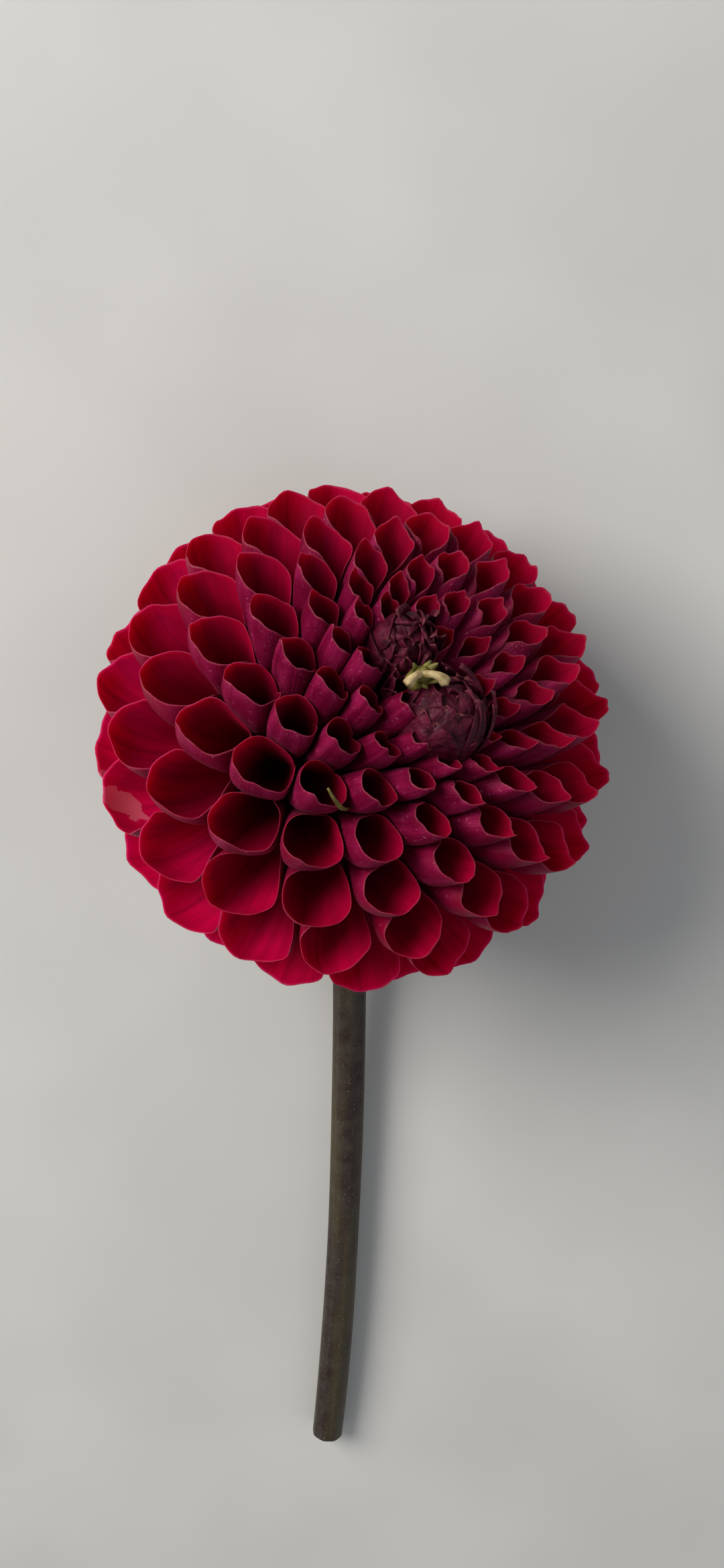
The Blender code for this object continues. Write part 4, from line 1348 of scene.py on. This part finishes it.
def build_rim():
    """A mask for the dry margin of a petal, wider and narrower in turn."""
    tree, given, result = new_group("petal_rim", {"Width": 0.03}, ("Margin",))
    wander = noise(tree, object_place(tree), MARGIN_WANDER_SCALE)
    wander = times(tree, wander, MARGIN_WANDER)
    edge = calculate(tree, "ADD", read(tree, "rise"), wander)
    inner = calculate(tree, "SUBTRACT", MARGIN_FULL, given["Width"])
    feed(tree, result["Margin"], remap(tree, edge, inner, MARGIN_FULL))
    return tree


def build_tear():
    """A mask for one ragged pale patch on a petal at the head's left edge: an ellipse round
    a point of the piece's own space, with its outline broken up by noise."""
    tree, given, result = new_group("torn_patch", {"Ragged": 1.5}, ("Torn",))
    place = add_node(tree, "SeparateXYZ", {0: object_place(tree)}).outputs
    parts = []
    for way, half in zip((TEAR_WAY, TEAR_ACROSS), TEAR_HALVES):
        shares = [calculate(tree, "SUBTRACT", place[i], TEAR_MIDDLE[i]) for i in range(2)]
        shares = [times(tree, shares[i], way[i] / half) for i in range(2)]
        parts.append(calculate(tree, "POWER", calculate(tree, "ADD", *shares), 2.0))
    spread = calculate(tree, "ADD", *parts)
    ragged = noise(tree, object_place(tree), TEAR_RAG_SCALE, TEAR_RAG_DETAIL)
    ragged = calculate(tree, "SUBTRACT", ragged, NOISE_MIDDLE)
    ragged = times(tree, times(tree, ragged, given["Ragged"]), 1 / NOISE_MIDDLE)
    feed(tree, result["Torn"], remap(tree, calculate(tree, "ADD", spread, ragged), *TEAR_EDGE))
    return tree


def petal_face(groups):
    """Velvety crimson with faint ribs, a paler margin and one torn patch, with painted shade down
    the cup and inside young florets and a painted glow in old cups. Light passes through the thin
    petal."""
    material, tree, shader = new_material("petal_face")
    ribs = use_group(tree, groups["ribs"], Spacing=0.45, Stretch=0.05)
    mottle = use_group(tree, groups["mottle"], Size=7.0)
    margin = use_group(tree, groups["rim"], Width=0.012)
    tear = use_group(tree, groups["tear"], Ragged=1.5)
    colour = tint(
        tree,
        # Painted shade: the colour starts dark down the cup and turns to the rim colour towards
        # the rim.
        CUP_DEPTH_SHADE,
        (ramp(tree, "rise", 0.20, 0.95), CUP_RIM),
        (ramp(tree, "tone", 0.0, 1.0, 0.0, 0.45), CUP_WARM),
        # Painted shade: young florets, rolled to narrow mouths, are darkened inside.
        (ramp(tree, "age", 0.20, 0.55, 0.75, 0.0), CUP_YOUNG_SHADE),
        # Painted glow: old open cups are lightened as if lit through the petal.
        (ramp(tree, "age", 0.60, 1.0, 0.0, 0.85), CUP_OLD_GLOW),
        (times(tree, ribs["Streaks"], 0.30), CUP_STREAK),
        (times(tree, mottle["Blotches"], 0.20), CUP_DEPTH_SHADE),
        (keel(tree, 0.04, 0.40), CUP_DEPTH_SHADE),
        (times(tree, margin["Margin"], 0.20), DRY_EDGE),
        (tear["Torn"], TORN),
    )
    sockets = {
        "Specular IOR Level": 0.05,
        "Subsurface Weight": 0.60,
        "Subsurface Scale": 1.6 * MM,
        "Subsurface Radius": (1.0, 0.15, 0.30),
        "Sheen Weight": 0.06,
        "Sheen Roughness": 0.40,
        "Sheen Tint": (1.0, 0.08, 0.18, 1.0),
    }
    rough = (ribs["Ribs"], 0.55, 0.70)
    finish_skin(tree, shader, colour, rough, (ribs["Ribs"], 0.06 * MM, 0.6), sockets)
    return material


def petal_reverse(groups):
    """Satin magenta, pinker near the eyes and redder towards the stem, with painted shade at its
    root, a painted sheen of pale streaks, fine pale ribs, a pale middle ridge and a paler lip, and
    painted glints as scattered specks."""
    material, tree, shader = new_material("petal_reverse")
    ribs = use_group(tree, groups["ribs"], Spacing=0.40, Stretch=0.05)
    mottle = use_group(tree, groups["mottle"], Size=5.0)
    margin = use_group(tree, groups["rim"], Width=0.012)
    # Painted sheen: pale streaks where blotches and streaks meet, stronger on young florets.
    bloom = times(tree, mottle["Blotches"], ribs["Streaks"])
    # Painted glints: pale specks along the streaks.
    specks = times(tree, times(tree, mottle["Specks"], 0.55), ribs["Streaks"])
    # Painted sheen: a paler lip near the rim.
    lip = times(tree, ramp(tree, "rise", 0.78, 0.98, 0.0, 0.30), mottle["Blotches"])
    colour = tint(
        tree,
        REVERSE_YOUNG,
        (ramp(tree, "age", 0.30, 0.80), REVERSE_OLD),
        # Painted shade: the back darkens towards its root.
        (ramp(tree, "rise", 0.30, 0.92, 0.85, 0.0), REVERSE_ROOT_SHADE),
        # Painted sheen: pale streaks, fine pale ribs, a pale middle ridge and a paler lip.
        (times(tree, bloom, ramp(tree, "age", 0.3, 0.8, 0.70, 0.08)), REVERSE_SHEEN),
        (times(tree, ribs["Ribs"], 0.10), REVERSE_SHEEN),
        (keel(tree, 0.05, 0.35), REVERSE_SHEEN),
        (lip, REVERSE_SHEEN),
        (specks, REVERSE_GLINT),
        (times(tree, margin["Margin"], 0.35), DRY_EDGE),
    )
    sockets = {
        "Specular IOR Level": 0.12,
        "Sheen Weight": 0.05,
        "Sheen Roughness": 0.35,
        "Sheen Tint": (1.0, 0.45, 0.65, 1.0),
    }
    rough = (ribs["Ribs"], 0.50, 0.38)
    finish_skin(tree, shader, colour, rough, (ribs["Ribs"], 0.08 * MM, 0.7), sockets)
    return material


def bud_skin(groups):
    """Dark plum with a painted greyish sheen towards the tips, creased along the scale."""
    material, tree, shader = new_material("bud_scale")
    ribs = use_group(tree, groups["ribs"], Spacing=0.35, Stretch=0.10)
    blotches = use_group(tree, groups["mottle"], Size=2.5)["Blotches"]
    # Painted sheen: the scales are lightened towards their tips and along streaks.
    tip = ramp(tree, "rise", 0.55, 0.95, 0.10, 0.55)
    colour = tint(
        tree,
        BUD_DARK,
        (blotches, BUD_PLUM),
        (times(tree, tip, blotches), BUD_SHEEN),
        (times(tree, ribs["Streaks"], 0.2), BUD_SHEEN),
        (ramp(tree, "rise", 0.96, 1.0, 0.0, 0.3), DRY_EDGE),
    )
    crumple = calculate(tree, "ADD", times(tree, ribs["Ribs"], 0.12), blotches)
    rough = (ribs["Ribs"], 0.52, 0.40)
    sockets = {"Specular IOR Level": 0.18}
    finish_skin(tree, shader, colour, rough, (crumple, 0.45 * MM, 0.8), sockets)
    return material


def disc_skin(groups):
    """Cream to tan, green at the root, browner on the lobes and in the mouth."""
    material, tree, shader = new_material("disc_floret")
    blotches = use_group(tree, groups["mottle"], Size=1.2)["Blotches"]
    colour = tint(
        tree,
        DISC_TAN,
        (blotches, DISC_CREAM),
        (ramp(tree, "rise", 0.86, 1.0, 0.0, 0.75), DISC_BROWN),
        (ramp(tree, "rise", 0.30, 0.0, 0.0, 0.8), CHAFF_LIGHT),
    )
    finish_skin(tree, shader, colour, (blotches, 0.62, 0.48), (blotches, 0.08 * MM, 0.5))
    return material


def stem_bark(groups):
    """Dark olive brown with purple streaks along the ribs and fine pale specks, and pale
    pith at the cut."""
    material, tree, shader = new_material("stem")
    ribs = use_group(tree, groups["ribs"], Spacing=1.1, Stretch=0.03)
    mottle = use_group(tree, groups["mottle"], Size=3.5)
    colour = tint(
        tree,
        STEM_OLIVE,
        (ribs["Streaks"], STEM_PURPLE),
        (times(tree, mottle["Blotches"], 0.35), STEM_GREY),
        (times(tree, mottle["Specks"], 0.6), STEM_SPECK),
        (read(tree, "cut"), STEM_PITH),
    )
    rough = (ribs["Ribs"], 0.52, 0.40)
    sockets = {"Specular IOR Level": 0.30}
    finish_skin(tree, shader, colour, rough, (ribs["Ribs"], 0.12 * MM, 0.6), sockets)
    return material


def plant_skin(name, groups, dark, light, speck, size, roughness):
    """A mottled skin for the core, the mound, the chaff and the calyx."""
    material, tree, shader = new_material(name)
    mottle = use_group(tree, groups["mottle"], Size=size)
    blotches = mottle["Blotches"]
    colour = tint(tree, dark, (blotches, light), (mottle["Specks"], speck))
    swing = PLANT_ROUGHNESS_SWING
    rough = (blotches, roughness - swing, roughness + swing)
    finish_skin(tree, shader, colour, rough, (blotches, 0.10 * MM, 0.5))
    return material


# The floor, the light and the camera


def make_floor(groups):
    """A broad pale sheet under the flower."""
    signs = np.array([(-1, -1, 0), (1, -1, 0), (1, 1, 0), (-1, 1, 0)])
    corners = signs * FLOOR_SIZE / 2 + np.array([0.0, 0.0, FLOOR_DROP])
    floor = link_mesh("floor", corners, np.array([[0, 1, 2, 3]]))
    material, tree, shader = new_material("pale_floor")
    blotches = use_group(tree, groups["mottle"], Size=60.0)["Blotches"]
    colour = tint(tree, FLOOR_DARK, (blotches, FLOOR_LIGHT))
    finish_skin(tree, shader, colour, (blotches, 0.80, 0.90))
    floor.data.materials.append(material)


def add_light(name, place, size, power, colour):
    """A square soft light that looks at the head."""
    lamp = bpy.data.lights.new(name, "AREA")
    lamp.energy = power
    lamp.size = size
    lamp.color = colour
    thing = bpy.data.objects.new(name, lamp)
    thing.location = HEAD_CENTRE + np.array(place)
    aim = Vector(-np.array(place)).to_track_quat("-Z", "Y")
    thing.rotation_euler = aim.to_euler()
    bpy.context.scene.collection.objects.link(thing)


def light_scene():
    """A pale sky, a soft key from the upper left and a weak fill from the lower right."""
    for name, place, size, power, colour in LIGHTS:
        add_light(name, place, size, power, colour)
    world = bpy.data.worlds.new("soft_sky")
    world.use_nodes = True
    sky = world.node_tree.nodes["Background"]
    sky.inputs[0].default_value = SKY_COLOUR
    sky.inputs[1].default_value = SKY_STRENGTH
    bpy.context.scene.world = world
    bpy.context.scene.view_settings.view_transform = "Standard"


def add_camera():
    """A camera that looks down on the head, turned from the vertical by the camera's tilt."""
    back = np.array([0.0, math.sin(CAMERA_TILT), math.cos(CAMERA_TILT)])
    right = X_WAY
    up = np.cross(back, right)
    shift = right * (IMAGE_WIDTH / 2 - HEAD_PIXEL[0]) - up * (IMAGE_HEIGHT / 2 - HEAD_PIXEL[1])
    place = HEAD_CENTRE + back * CAMERA_DISTANCE + shift / PIXELS_PER_METRE
    lens = bpy.data.cameras.new("camera")
    lens.sensor_width = SENSOR_WIDTH
    lens.lens = SENSOR_WIDTH * PIXELS_PER_METRE * CAMERA_DISTANCE / IMAGE_HEIGHT
    camera = bpy.data.objects.new("camera", lens)
    turn = Matrix(np.stack([right, up, back], axis=1).tolist()).to_4x4()
    camera.matrix_world = Matrix.Translation(Vector(place)) @ turn
    bpy.context.scene.collection.objects.link(camera)
    bpy.context.scene.camera = camera


# The whole flower


def hand_over(thing, materials, slot, *nodes):
    """Dresses a finished piece in its materials, in the order of its own slots, makes it
    ride on the frame, and hides the solids that it stands for."""
    for material in materials:
        thing.data.materials.append(material)
    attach(thing, "root")
    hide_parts(*nodes)


def build_head(groups, rng):
    """The florets in bands from the eyes to the stem, and the receptacle that carries them."""
    petal = (petal_face(groups), petal_reverse(groups))
    florets = all_florets()
    bounds = np.radians(BAND_DEGREES)
    for name, low, high in zip(BAND_NAMES, bounds[:-1], bounds[1:]):
        band = [floret for floret in florets if low <= floret.angle < high]
        hand_over(make_florets(name, band, rng), petal, "ray_florets", "bloom")
    core = plant_skin("green_core", groups, CORE_DARK, CORE_LIGHT, CORE_LIGHT, 3.0, 0.6)
    hand_over(make_receptacle(), [core], "ray_florets", "bloom")


def build_eyes(groups, rng):
    """Both buds, and the disc florets, the mound and the chaff between them."""
    plum = [bud_skin(groups)] * 2
    for eye, bud in (("lower", LOWER_BUD), ("upper", UPPER_BUD)):
        scales = make_bud_scales(eye + "_bud_scales", bud, rng)
        straps = make_straps(eye + "_bud_straps", bud, rng)
        for piece in (scales, straps, make_bud_core(eye + "_bud_core", bud)):
            hand_over(piece, plum, "eye_buds", eye + "_eye_bud")
    plum_tuft = make_tuft("plum_tuft", eye_frame(LOWER_BUD)[0] + PLUM_FOOT, *PLUM_TUFT, rng)
    hand_over(plum_tuft, plum, "eye_buds", "lower_eye_bud")
    tan = disc_skin(groups)
    for name, (direction, length) in zip(DISC_NAMES, DISC_LEANS):
        tube = make_disc_floret(name, direction, length)
        hand_over(tube, [tan], "disc_florets", "disc_florets")
    green = [plant_skin("chaff", groups, CHAFF_DARK, CHAFF_LIGHT, DISC_CREAM, 1.5, 0.55)] * 2
    disc_chaff = make_tuft("disc_chaff", mound_centre() + FACE * CHAFF_RISE, *CHAFF_TUFT, rng)
    for piece in (make_disc_mound(), disc_chaff):
        hand_over(piece, green, "disc_florets", "disc_florets")
    hand_over(make_chaff_blade(), green, "chaff", "chaff_scale")


def build_stem(groups, rng):
    """The calyx with both rings of bracts, and the stem."""
    leaf = [plant_skin("calyx", groups, CALYX_DARK, CALYX_LIGHT, CALYX_PURPLE, 2.5, 0.45)] * 2
    hand_over(make_calyx_cup(), leaf, "calyx", "calyx")
    for bracts in (INNER_BRACTS, OUTER_BRACTS):
        hand_over(make_bracts(*bracts, rng), leaf, "calyx", "calyx")
    hand_over(make_stem(), [stem_bark(groups)], "stem", "stem")


def main():
    """Builds the camera, the light, the floor and the flower."""
    add_camera()
    light_scene()
    groups = {
        "ribs": build_ribs(),
        "mottle": build_mottle(),
        "rim": build_rim(),
        "tear": build_tear(),
    }
    make_floor(groups)
    rng = np.random.default_rng(SEED)
    build_head(groups, rng)
    build_eyes(groups, rng)
    build_stem(groups, rng)


main()
